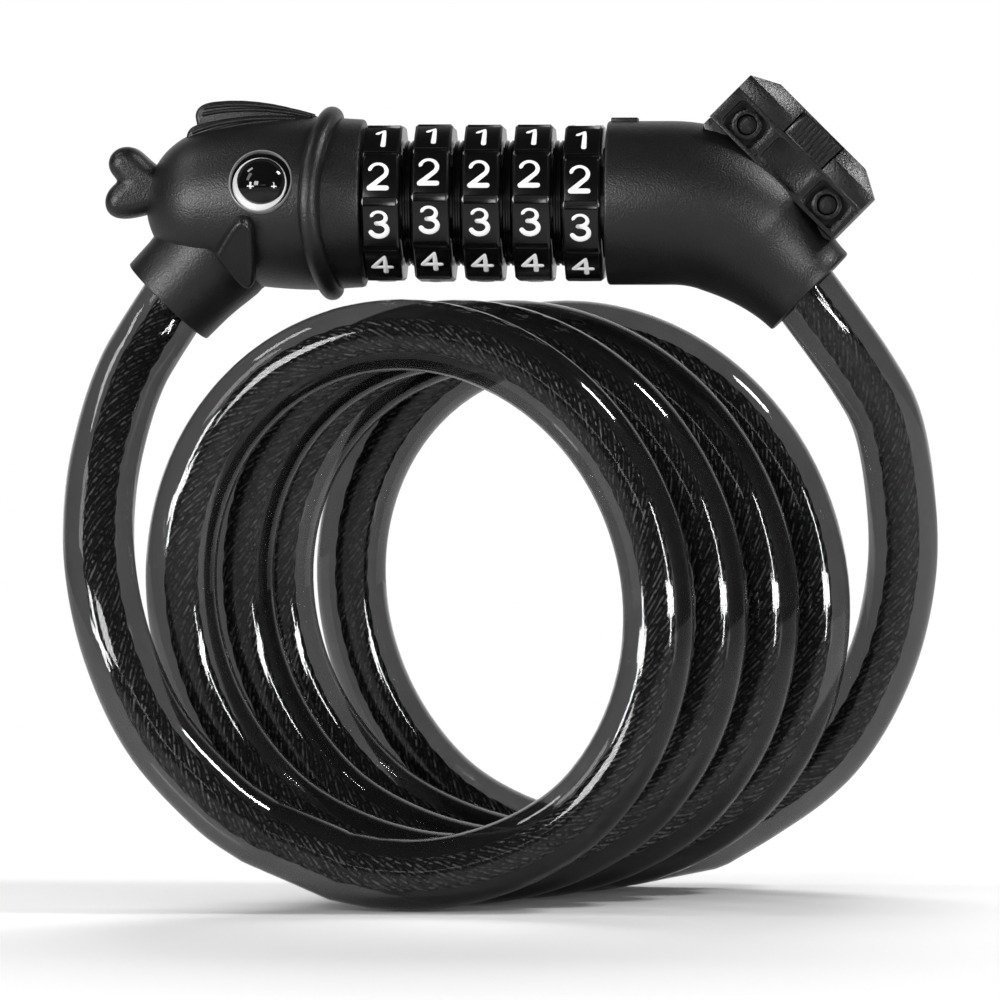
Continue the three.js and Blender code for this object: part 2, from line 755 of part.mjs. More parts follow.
function roundedRectangle(u0, u1, n0, n1, r) {
  const shape = new THREE.Shape();
  shape.moveTo(u0 + r, n0);
  shape.lineTo(u1 - r, n0);
  shape.quadraticCurveTo(u1, n0, u1, n0 + r);
  shape.lineTo(u1, n1 - r);
  shape.quadraticCurveTo(u1, n1, u1 - r, n1);
  shape.lineTo(u0 + r, n1);
  shape.quadraticCurveTo(u0, n1, u0, n1 - r);
  shape.lineTo(u0, n0 + r);
  shape.quadraticCurveTo(u0, n0, u0 + r, n0);
  return shape;
}

// Rings along the bent axis; the sleeve narrows a little round the bend and more down the neck.
function elbowLoft(grown = 0) {
  const sides = 28;
  const tangentLength = ELBOW_BEND_R * Math.tan(ELBOW_ANGLE / 2);
  const bendX = ELBOW_X - tangentLength;
  const rings = [];
  rings.push({ x: HOUSING_LEFT_X, z: 0, turn: 0, r: HOUSING_R - HOUSING_EDGE });
  rings.push({ x: HOUSING_LEFT_X + HOUSING_EDGE, z: 0, turn: 0, r: HOUSING_R });
  const bendSteps = 6;
  for (let i = 0; i <= bendSteps; i += 1) {
    const turn = (ELBOW_ANGLE * i) / bendSteps;
    const share = i / bendSteps;
    rings.push({
      x: bendX + ELBOW_BEND_R * Math.sin(turn),
      z: -ELBOW_BEND_R * (1 - Math.cos(turn)),
      turn,
      r: HOUSING_R - ELBOW_TAPER * share ** 2,
    });
  }
  const startR = HOUSING_R - ELBOW_TAPER;
  const neckSteps = 6;
  for (let i = 1; i <= neckSteps; i += 1) {
    const share = i / neckSteps;
    const point = footPoint(tangentLength + (NECK_LENGTH - tangentLength) * share, 0);
    const narrowed = 1 - (1 - share) ** 1.8;
    const r = startR + (NECK_R - startR) * narrowed;
    rings.push({ x: point.x, z: point.z, turn: ELBOW_ANGLE, r });
  }
  rings.forEach((ring) => {
    ring.r += grown;
  });
  return loft(rings, sides);
}

// A closed loft over round sections that stand square to a path in X and Z.
function loft(rings, sides) {
  const vertices = [];
  rings.forEach(({ x, z, turn, r }) => {
    for (let k = 0; k < sides; k += 1) {
      const angle = (2 * Math.PI * k) / sides;
      const up = r * Math.cos(angle);
      vertices.push(x + up * Math.sin(turn), r * Math.sin(angle), z + up * Math.cos(turn));
    }
  });
  return skin(vertices, sides);
}

// From the neck's own frame (x inwards from its mouth) to the right housing.
function toRightNeck(geometry) {
  const frame = new THREE.Matrix4().makeBasis(
    footVector(-1, 0),
    new THREE.Vector3(0, 1, 0),
    footVector(0, 1).negate(),
  );
  frame.setPosition(footPoint(NECK_LENGTH, 0));
  return geometry.applyMatrix4(frame);
}

function rightHousing() {
  const pad = pushAcross(
    rectangle(FOOT_U0, FOOT_U1, 0, FOOT_N0 - GAP),
    -FOOT_HALF_WIDTH, FOOT_HALF_WIDTH,
  );
  const index = box(
    INDEX_X, INDEX_X + INDEX_LENGTH,
    -INDEX_WIDTH / 2, INDEX_WIDTH / 2,
    HOUSING_R - 1, HOUSING_R + INDEX_PROUD,
  );
  const flangeSeat = cylinderAlongX(
    FLANGE_R + GAP, HOUSING_LEFT_X - 1, HOUSING_LEFT_X + FLANGE_THICKNESS + 2 * GAP,
  );
  const coreBore = cylinderAlongX(CORE_R + GAP, HOUSING_LEFT_X, CORE_TAIL_X + GAP);
  const shell = join([elbowLoft(), pad, index]);
  return cut(shell, [flangeSeat, coreBore, corePin(GAP), ...neckBore().map(toRightNeck)]);
}

// ---- bracket foot -----------------------------------------------------------

function cellU(index) {
  return CELL_MIDDLE_U + CELL_PITCH * (index - 1);
}

// Cylinder square to the bend at a cell, from y0 to y1.
function crossCylinder(radius, u, n, y0, y1) {
  const centre = footPoint(u, n);
  const geometry = new THREE.CylinderGeometry(radius, radius, y1 - y0, 12);
  return geometry.translate(centre.x, (y0 + y1) / 2, centre.z);
}

function bracketFoot() {
  const body = pushAcross(
    rectangle(FOOT_U0, FOOT_U1, FOOT_N0, FOOT_SHOULDER_N),
    -FOOT_HALF_WIDTH, FOOT_HALF_WIDTH,
  );
  const cells = [];
  const bosses = [];
  const holes = [];
  const middleN = (CELL_N0 + CELL_N1) / 2;
  [-1, 1].forEach((side) => {
    const outside = side * (FOOT_HALF_WIDTH + 1);
    const floor = side * (FOOT_HALF_WIDTH - CELL_DEPTH);
    const [y0, y1] = [Math.min(outside, floor), Math.max(outside, floor)];
    for (let index = 0; index < 3; index += 1) {
      const u = cellU(index);
      cells.push(pushAcross(
        roundedRectangle(u - CELL_LENGTH / 2, u + CELL_LENGTH / 2, CELL_N0, CELL_N1, CELL_CORNER),
        y0, y1,
      ));
    }
    const rim = side * (FOOT_HALF_WIDTH - CELL_DEPTH / 2);
    const root = floor - side;
    [0, 2].forEach((index) => {
      bosses.push(crossCylinder(BOSS_R, cellU(index), middleN, Math.min(rim, root), Math.max(rim, root)));
    });
  });
  [0, 2].forEach((index) => {
    holes.push(crossCylinder(SCREW_R, cellU(index), middleN, -FOOT_HALF_WIDTH, FOOT_HALF_WIDTH));
  });
  return cut(join([cut(body, cells), ...bosses]), [...holes, elbowLoft(GAP)]);
}

// A pin across the foot; its end sits a little inside its boss.
function footPin(index) {
  const middleN = (CELL_N0 + CELL_N1) / 2;
  const end = FOOT_HALF_WIDTH - CELL_DEPTH / 2 - 0.8;
  return crossCylinder(SCREW_R - GAP, cellU(index), middleN, -end, end);
}

// A convex cap between a lower and an upper rectangle in the elbow's frame.
function bevelledCap(lower, upper) {
  const corners = [];
  [lower, upper].forEach(({ u0, u1, half, n }) => {
    [[u0, -half], [u1, -half], [u1, half], [u0, half]].forEach(([u, y]) => {
      const point = footPoint(u, n);
      corners.push(point.x, y, point.z);
    });
  });
  const faces = [0, 1, 2, 0, 2, 3, 4, 6, 5, 4, 7, 6];
  for (let k = 0; k < 4; k += 1) {
    const next = (k + 1) % 4;
    faces.push(k, k + 4, next, next, k + 4, next + 4);
  }
  return indexed(corners, faces);
}

function bracketPlate() {
  const base = { u0: FOOT_U0, u1: FOOT_U1, half: FOOT_HALF_WIDTH };
  const skirt = bevelledCap(
    { ...base, n: FOOT_SHOULDER_N + GAP },
    { ...base, n: FOOT_EDGE_N },
  );
  const crown = bevelledCap(
    { ...base, n: FOOT_EDGE_N },
    {
      u0: FOOT_U0 + FOOT_END_BEVEL,
      u1: FOOT_U1 - FOOT_END_BEVEL,
      half: FOOT_HALF_WIDTH - FOOT_SIDE_BEVEL,
      n: FOOT_TOP_N,
    },
  );
  const notchWidth = FOOT_SIDE_BEVEL + 0.2;
  const notches = [-1, 1].map((side) => {
    const outside = side * (FOOT_HALF_WIDTH + 1);
    const inside = side * (FOOT_HALF_WIDTH - notchWidth);
    return pushAcross(
      rectangle(TONGUE_U0, TONGUE_U1, FOOT_SHOULDER_N - 1, FOOT_TOP_N + 1),
      Math.min(outside, inside), Math.max(outside, inside),
    );
  });
  return cut(join([skirt, crown]), notches);
}

// The two latch tongues that fill the plate's notches.
function latchTongue(side) {
  const outer = side * (FOOT_HALF_WIDTH - 0.1);
  const inner = side * (FOOT_HALF_WIDTH - FOOT_SIDE_BEVEL + 0.15);
  return pushAcross(
    rectangle(TONGUE_U0 + GAP, TONGUE_U1 - GAP, FOOT_SHOULDER_N + GAP, FOOT_TOP_N - TONGUE_SUNK),
    Math.min(outer, inner), Math.max(outer, inner),
  );
}

function housingPieces() {
  return [
    piece('right_housing', rightHousing(), FINISH.housing),
    piece('cable_ferrule_right', toRightNeck(ferruleShape()), FINISH.steel),
    piece('ferrule_pin_right', toRightNeck(ferrulePin(0)), FINISH.steel),
    piece('bracket_foot', bracketFoot(), FINISH.bracket),
    piece('bracket_plate', bracketPlate(), FINISH.bracket),
    piece('latch_tongue_front', latchTongue(-1), FINISH.bracket),
    piece('latch_tongue_back', latchTongue(1), FINISH.bracket),
    piece('foot_pin_upper', footPin(0), FINISH.bracket),
    piece('foot_pin_lower', footPin(2), FINISH.bracket),
  ];
}

// ---- plug head ----------------------------------------------------------------

// The head's radius at x: a round face that flares to the gill and the rear rim.
function headRadius(x) {
  if (x <= FACE_X) return Math.sqrt(Math.max(0, FACE_R ** 2 - (x - FACE_X) ** 2));
  if (x <= HEAD_WIDEST_X) {
    const share = (x - FACE_X) / (HEAD_WIDEST_X - FACE_X);
    return FACE_R + (HEAD_WIDEST_R - FACE_R) * (1 - (1 - share) ** 2);
  }
  const share = (x - HEAD_WIDEST_X) / (HEAD_REAR_X - HEAD_WIDEST_X);
  return HEAD_WIDEST_R + (HEAD_REAR_R - HEAD_WIDEST_R) * share;
}

function headBody() {
  const profile = [];
  const faceSteps = 7;
  for (let i = 0; i < faceSteps; i += 1) {
    const angle = (Math.PI / 2) * (i / faceSteps);
    profile.push([FACE_X - FACE_R * Math.cos(angle), FACE_R * Math.sin(angle)]);
  }
  const flareSteps = 4;
  for (let i = 0; i <= flareSteps; i += 1) {
    const x = FACE_X + ((HEAD_WIDEST_X - FACE_X) * i) / flareSteps;
    profile.push([x, headRadius(x)]);
  }
  profile.push([HEAD_REAR_X - HEAD_REAR_CHAMFER, HEAD_REAR_R]);
  profile.push([HEAD_REAR_X, HEAD_REAR_R - HEAD_REAR_CHAMFER]);
  profile.push([HEAD_REAR_X, 0]);
  return revolve(profile, 32);
}

// From the neck's own frame (x inwards from its mouth) to the head.
function toHeadNeck(geometry) {
  const inward = new THREE.Vector3(Math.cos(LEAD_ANGLE), 0, Math.sin(LEAD_ANGLE));
  const across = new THREE.Vector3(0, 1, 0);
  const frame = new THREE.Matrix4().makeBasis(inward, across, inward.clone().cross(across));
  frame.setPosition(HEAD_NECK_END);
  return geometry.applyMatrix4(frame);
}

function headNeck(grown = 0) {
  return toHeadNeck(revolve([
    [0, 0],
    [0, HEAD_NECK_R + grown],
    [HEAD_NECK_LENGTH * 0.5, HEAD_NECK_R + 0.2 + grown],
    [HEAD_NECK_LENGTH * 0.8, HEAD_NECK_ROOT_R + grown],
    [HEAD_NECK_LENGTH, HEAD_NECK_ROOT_R + 1.2 + grown],
    [HEAD_NECK_LENGTH, 0],
  ], 24));
}

// A raised rib round the gills that bows forward on both cheeks.
function gillRib() {
  const around = 32;
  const section = 6;
  const vertices = [];
  const faces = [];
  for (let i = 0; i < around; i += 1) {
    const angle = (2 * Math.PI * i) / around;
    const bow = GILL_BOW * Math.sin(angle) ** 2;
    for (let k = 0; k < section; k += 1) {
      const turn = (2 * Math.PI * k) / section;
      const radius = GILL_R + GILL_TUBE_R * Math.cos(turn);
      const x = GILL_X - bow + GILL_TUBE_R * Math.sin(turn);
      vertices.push(x, radius * Math.sin(angle), radius * Math.cos(angle));
      const a = i * section + k;
      const b = i * section + ((k + 1) % section);
      const wrap = around * section;
      const c = (a + section) % wrap;
      const d = (b + section) % wrap;
      faces.push(a, c, b, b, c, d);
    }
  }
  return indexed(vertices, faces);
}

// The pouting lips, heart-shaped from the side, in X and Z.
function lipsOutline() {
  const shape = new THREE.Shape();
  shape.moveTo(-55, 5.4);
  shape.lineTo(-58.3, 6.3);
  shape.bezierCurveTo(-60.6, 7.6, -61.4, 9.7, -63.6, 9.7);
  shape.bezierCurveTo(-66, 9.7, -67.2, 7.6, -66.7, 6);
  shape.bezierCurveTo(-66.4, 5, -65.7, 4.5, -65.2, 3.75);
  shape.bezierCurveTo(-66.2, 3, -67.4, 1.9, -67.4, 0.2);
  shape.bezierCurveTo(-67.4, -1.7, -66, -2.6, -64.5, -2.6);
  shape.bezierCurveTo(-62.6, -2.6, -61, -2, -58.6, -1.5);
  shape.lineTo(-55, -1.2);
  shape.closePath();
  return shape;
}

function lips() {
  const geometry = new THREE.ExtrudeGeometry(lipsOutline(), {
    depth: 2 * (LIP_HALF_WIDTH - LIP_ROUNDING),
    bevelEnabled: true,
    bevelThickness: LIP_ROUNDING,
    bevelSize: LIP_ROUNDING * 0.8,
    bevelOffset: -LIP_ROUNDING * 0.8,
    bevelSegments: 2,
    curveSegments: 3,
  });
  return geometry.translate(0, 0, LIP_ROUNDING - LIP_HALF_WIDTH).rotateX(Math.PI / 2);
}

// Turn a shape that faces up (+Z) at the axis out to a cheek's eye.
function toCheek(geometry, side) {
  return geometry.rotateX(-side * (Math.PI / 2 - EYE_LIFT)).translate(EYE_X, 0, 0);
}

function eyeSocket(side) {
  const depth = 6;
  const socket = new THREE.CylinderGeometry(EYE_SOCKET_R, EYE_SOCKET_R, depth, 24);
  socket.rotateX(Math.PI / 2).translate(0, 0, EYE_SEAT_R - GAP + depth / 2);
  return toCheek(socket, side);
}

// A lathed shape about +Z from [radius, height] points.
function turned(profile, segments) {
  const points = profile.map(([r, h]) => new THREE.Vector2(r, h));
  const closedLoop = profile[0][0] > 0 ? [...points, points[0].clone()] : points;
  return new THREE.LatheGeometry(closedLoop, segments).rotateX(Math.PI / 2);
}

function eyeRing(side) {
  return toCheek(turned([
    [EYE_RING_INNER_R, EYE_SEAT_R],
    [EYE_RING_R, EYE_SEAT_R],
    [EYE_RING_R, EYE_RING_TOP_R - EYE_RING_ROUNDING],
    [EYE_RING_R - EYE_RING_ROUNDING, EYE_RING_TOP_R],
    [EYE_RING_INNER_R, EYE_RING_TOP_R - EYE_RING_ROUNDING],
  ], 24), side);
}

function eyeDome(side) {
  const profile = [[0, EYE_SEAT_R], [EYE_DOME_R, EYE_SEAT_R], [EYE_DOME_R, EYE_DOME_EDGE_R]];
  const steps = 4;
  for (let i = 1; i < steps; i += 1) {
    const angle = (Math.PI / 2) * (i / steps);
    profile.push([EYE_DOME_R * Math.cos(angle), EYE_DOME_EDGE_R + EYE_DOME_RISE * Math.sin(angle)]);
  }
  profile.push([0, EYE_DOME_EDGE_R + EYE_DOME_RISE]);
  return toCheek(turned(profile, 24), side);
}

function headShell() {
  const body = join([headBody(), headNeck(), gillRib(), lips()]);
  const coreSeat = cylinderAlongX(FLANGE_R, CORE_LEFT_X - 0.7, HEAD_REAR_X + 4);
  const boltSeatX = INSERT_X0 - BOLT_HEAD_THICKNESS - 3 * GAP;
  const boltSeat = cylinderAlongX(INSERT_R + GAP, boltSeatX, HEAD_REAR_X);
  const sockets = [eyeSocket(-1), eyeSocket(1)];
  const bores = neckBore().map(toHeadNeck);
  return cut(body, [coreSeat, boltSeat, ...sockets, ...bores, dorsalRoot(GAP), ...finRoots(GAP)]);
}

// The upper layer of the dorsal fin, a swept crest, in X and Z.
function crestOutline() {
  const shape = new THREE.Shape();
  shape.moveTo(-31, 14);
  shape.bezierCurveTo(-36, 16.6, -43, 17.6, -48.3, 17);
  shape.bezierCurveTo(-50.6, 16.8, -51.9, 16, -51.8, 14.6);
  shape.lineTo(-51.4, 12);
  shape.lineTo(-46, 9.8);
  shape.lineTo(-33, 12);
  shape.closePath();
  return shape;
}

// The lower layer, a fold along the foot of the crest.
function foldOutline() {
  const shape = new THREE.Shape();
  shape.moveTo(-34, 14.6);
  shape.bezierCurveTo(-40, 15.2, -47, 14.6, -51.6, 13.3);
  shape.bezierCurveTo(-52.8, 12.9, -53.4, 12, -53.3, 10.8);
  shape.lineTo(-52.6, 8.4);
  shape.lineTo(-46, 9);
  shape.lineTo(-35, 11.6);
  shape.closePath();
  return shape;
}

function pushBothWays(shape, half) {
  const geometry = new THREE.ExtrudeGeometry(shape, {
    depth: 2 * half,
    bevelEnabled: false,
    curveSegments: 5,
  });
  return geometry.translate(0, 0, -half).rotateX(Math.PI / 2);
}

// The part of the fin that is let into the head.
function dorsalRoot(clearance) {
  const shape = new THREE.Shape();
  shape.moveTo(-33 + clearance, 20);
  shape.lineTo(-49.5 - clearance, 20);
  shape.lineTo(-49.5 - clearance, 9.4 - clearance);
  shape.lineTo(-33 + clearance, 12.2 - clearance);
  shape.closePath();
  return pushBothWays(shape, DORSAL_ROOT_HALF_WIDTH + clearance);
}

function dorsalFin() {
  const layers = join([
    pushBothWays(crestOutline(), CREST_HALF_WIDTH),
    pushBothWays(foldOutline(), FOLD_HALF_WIDTH),
  ]);
  return join([cut(layers, [headSkin(GAP)]), cut(dorsalRoot(0), [dorsalTrim()])]);
}

// Everything of the root that would stand above the crest's middle.
function dorsalTrim() {
  return box(-60, -20, -10, 10, CREST_MIDDLE_Z, 30);
}

// The head's outside grown by a clearance, to seat what stands on it.
function headSkin(clearance) {
  const grown = headBody();
  grown.translate(-FACE_X, 0, 0);
  const scale = 1 + clearance / FACE_R;
  return grown.scale(1, scale, scale).translate(FACE_X - 0.01, 0, 0);
}

// A teardrop fin, flat on the cheek, pointed at the top and the bottom.
function finOutline() {
  const shape = new THREE.Shape();
  shape.moveTo(-0.3, 5.3);
  shape.bezierCurveTo(1.9, 5, 2.7, 2.6, 2.7, 0);
  shape.bezierCurveTo(2.7, -3.4, 1.9, -6.8, 0.4, -8);
  shape.bezierCurveTo(-1.4, -7.6, -4.4, -3.4, -4.4, -0.6);
  shape.bezierCurveTo(-4.2, 1.8, -2.2, 5, -0.3, 5.3);
  return shape;
}

function pectoralFin(side) {
  const blade = new THREE.ExtrudeGeometry(finOutline(), {
    depth: FIN_THICKNESS,
    bevelEnabled: true,
    bevelThickness: FIN_ROUNDING,
    bevelSize: FIN_ROUNDING,
    bevelOffset: -FIN_ROUNDING,
    bevelSegments: 1,
    curveSegments: 3,
  }).translate(0, 0, -2);
  const stalk = new THREE.CylinderGeometry(FIN_ROOT_R, FIN_ROOT_R, 4, 12);
  stalk.rotateX(Math.PI / 2).translate(FIN_ROOT_X, FIN_ROOT_Y, -1.4);
  const seated = cut(faceCheek(blade, side, FIN_SEAT_R), [headSkin(GAP), headNeck(GAP)]);
  return join([seated, faceCheek(stalk, side, FIN_SEAT_R)]);
}

// Lay a shape drawn in X and Y on the cheek, its Y upwards and its Z outwards.
function faceCheek(geometry, side, radius) {
  const up = new THREE.Vector3(0, -side * Math.sin(FIN_LIFT), Math.cos(FIN_LIFT));
  const out = new THREE.Vector3(0, side * Math.cos(FIN_LIFT), Math.sin(FIN_LIFT));
  const shape = geometry.clone();
  if (side > 0) shape.scale(1, 1, -1);
  const frame = new THREE.Matrix4().makeBasis(new THREE.Vector3(1, 0, 0), up, out);
  if (side > 0) frame.makeBasis(new THREE.Vector3(1, 0, 0), up, out.clone().negate());
  frame.setPosition(FIN_X, side * Math.cos(FIN_LIFT) * radius, Math.sin(FIN_LIFT) * radius);
  return shape.applyMatrix4(frame);
}

function finRoots(clearance) {
  return [-1, 1].map((side) => {
    const hole = new THREE.CylinderGeometry(FIN_ROOT_R + clearance, FIN_ROOT_R + clearance, 8, 12);
    hole.rotateX(Math.PI / 2).translate(FIN_ROOT_X, FIN_ROOT_Y, 0.3);
    return faceCheek(hole, side, FIN_SEAT_R);
  });
}

function headPieces() {
  const pieces = [
    piece('head_shell', headShell(), FINISH.housing),
    piece('dorsal_fin', dorsalFin(), FINISH.housing),
    piece('plug_insert', plugInsert(), FINISH.steel),
    piece('plug_bolt', plugBolt(), FINISH.steel),
    piece('cable_ferrule_left', toHeadNeck(ferruleShape()), FINISH.steel),
    piece('ferrule_pin_left', toHeadNeck(ferrulePin(0)), FINISH.steel),
  ];
  [['front', -1], ['back', 1]].forEach(([name, side]) => {
    pieces.push(piece(`eye_ring_${name}`, eyeRing(side), FINISH.eyeRing));
    pieces.push(piece(`eye_dome_${name}`, eyeDome(side), FINISH.eyeDome));
    pieces.push(piece(`pectoral_fin_${name}`, pectoralFin(side), FINISH.housing));
  });
  return pieces;
}

// ---- assembly -------------------------------------------------------------------

const lock = new THREE.Group();
lock.position.x = -MIDDLE_X;
const barrel = new THREE.Group();
barrel.position.z = AXIS_Z;
barrel.add(...housingPieces(), ...corePieces(), dialPieces(), ...headPieces());
lock.add(barrel, ...cablePieces());

export default lock;
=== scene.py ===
"""The cable lock as it looks: its visible pieces, finishes, light and camera.

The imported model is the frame. Sizes here are in millimetres on the lock's own drawing, whose X runs along
the barrel and whose other two axes are measured from the barrel's axis. Place turns them into the frame's
metres. The cable's route is in the frame's own X and Y, with its heights above the floor.
"""
import logging
import math
from dataclasses import dataclass, field
from enum import Enum
from typing import Callable, Iterable, Sequence

import bmesh
import bpy
from mathutils import Matrix, Vector


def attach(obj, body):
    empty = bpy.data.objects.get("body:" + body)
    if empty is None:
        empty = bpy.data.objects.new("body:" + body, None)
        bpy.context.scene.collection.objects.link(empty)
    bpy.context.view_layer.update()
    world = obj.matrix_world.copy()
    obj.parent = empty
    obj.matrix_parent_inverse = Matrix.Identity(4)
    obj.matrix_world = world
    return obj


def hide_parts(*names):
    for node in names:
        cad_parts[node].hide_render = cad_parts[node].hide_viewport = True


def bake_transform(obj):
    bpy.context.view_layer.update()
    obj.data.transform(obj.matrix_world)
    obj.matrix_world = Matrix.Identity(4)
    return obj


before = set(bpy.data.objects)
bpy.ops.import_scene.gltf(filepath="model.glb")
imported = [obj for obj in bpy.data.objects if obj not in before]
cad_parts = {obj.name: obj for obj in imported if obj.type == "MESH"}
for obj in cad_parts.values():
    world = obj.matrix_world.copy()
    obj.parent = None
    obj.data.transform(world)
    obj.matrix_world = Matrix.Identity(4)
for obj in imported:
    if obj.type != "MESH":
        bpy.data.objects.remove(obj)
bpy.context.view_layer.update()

LOG = logging.getLogger("cable_lock")

MM = 0.001
AXIS_HEIGHT = 118.4
MIDDLE_X = 0.835
RIGHT = Vector((1.0, 0.0, 0.0))
AWAY = Vector((0.0, 1.0, 0.0))
UP = Vector((0.0, 0.0, 1.0))

Pair = tuple[float, float]
Triple = tuple[float, float, float]
Object = bpy.types.Object


class Side(Enum):
    """The two flanks of the lock, by the sign of their Y."""

    FRONT = -1
    BACK = 1


@dataclass(frozen=True)
class Place:
    """A corner and two directions that a flat drawing or a profile is laid out from."""

    corner: Vector
    along: Vector
    rise: Vector

    def out(self) -> Vector:
        """The third direction, square to the drawing."""
        return self.along.cross(self.rise).normalized()

    def at(self, a: float, r: float, o: float = 0.0) -> Vector:
        """The point a along, r up and o out, in mm, as metres of the frame.

        Args:
            a: distance along the drawing.
            r: distance up the drawing.
            o: distance out of the drawing.

        Returns:
            The point in the frame.
        """
        return self.corner + (self.along * a + self.rise * r + self.out() * o) * MM


BARREL = Place(Vector((-MIDDLE_X, 0.0, AXIS_HEIGHT)) * MM, RIGHT, UP)


def smooth_step(share: float) -> float:
    """0 at 0, 1 at 1, level at both ends.

    Args:
        share: the share, held between 0 and 1.

    Returns:
        The smoothed share.
    """
    held = min(1.0, max(0.0, share))
    return held * held * (3.0 - 2.0 * held)


def arc(middle: Pair, radii: Pair, start: float, end: float, steps: int = 8) -> list[Pair]:
    """Points on an ellipse between two angles in degrees.

    Args:
        middle: the ellipse's centre.
        radii: its half width and half height.
        start: the first angle.
        end: the last angle.
        steps: how many pieces the arc is cut in.

    Returns:
        The points from start to end.
    """
    points = []
    for i in range(steps + 1):
        angle = math.radians(start + (end - start) * i / steps)
        points.append((middle[0] + radii[0] * math.cos(angle), middle[1] + radii[1] * math.sin(angle)))
    return points


def bend(a: Pair, b: Pair, c: Pair, d: Pair, steps: int = 8) -> list[Pair]:
    """Points on a Bezier arc, without its first point.

    Args:
        a: its start.
        b: the start's handle.
        c: the end's handle.
        d: its end.
        steps: how many pieces the arc is cut in.

    Returns:
        The points after a, up to d.
    """
    points = []
    for i in range(1, steps + 1):
        t = i / steps
        weights = ((1 - t) ** 3, 3 * t * (1 - t) ** 2, 3 * t * t * (1 - t), t**3)
        points.append(tuple(sum(w * p[k] for w, p in zip(weights, (a, b, c, d))) for k in (0, 1)))
    return points


# ---- the bench: the hand tools that every piece is made with ------------------------


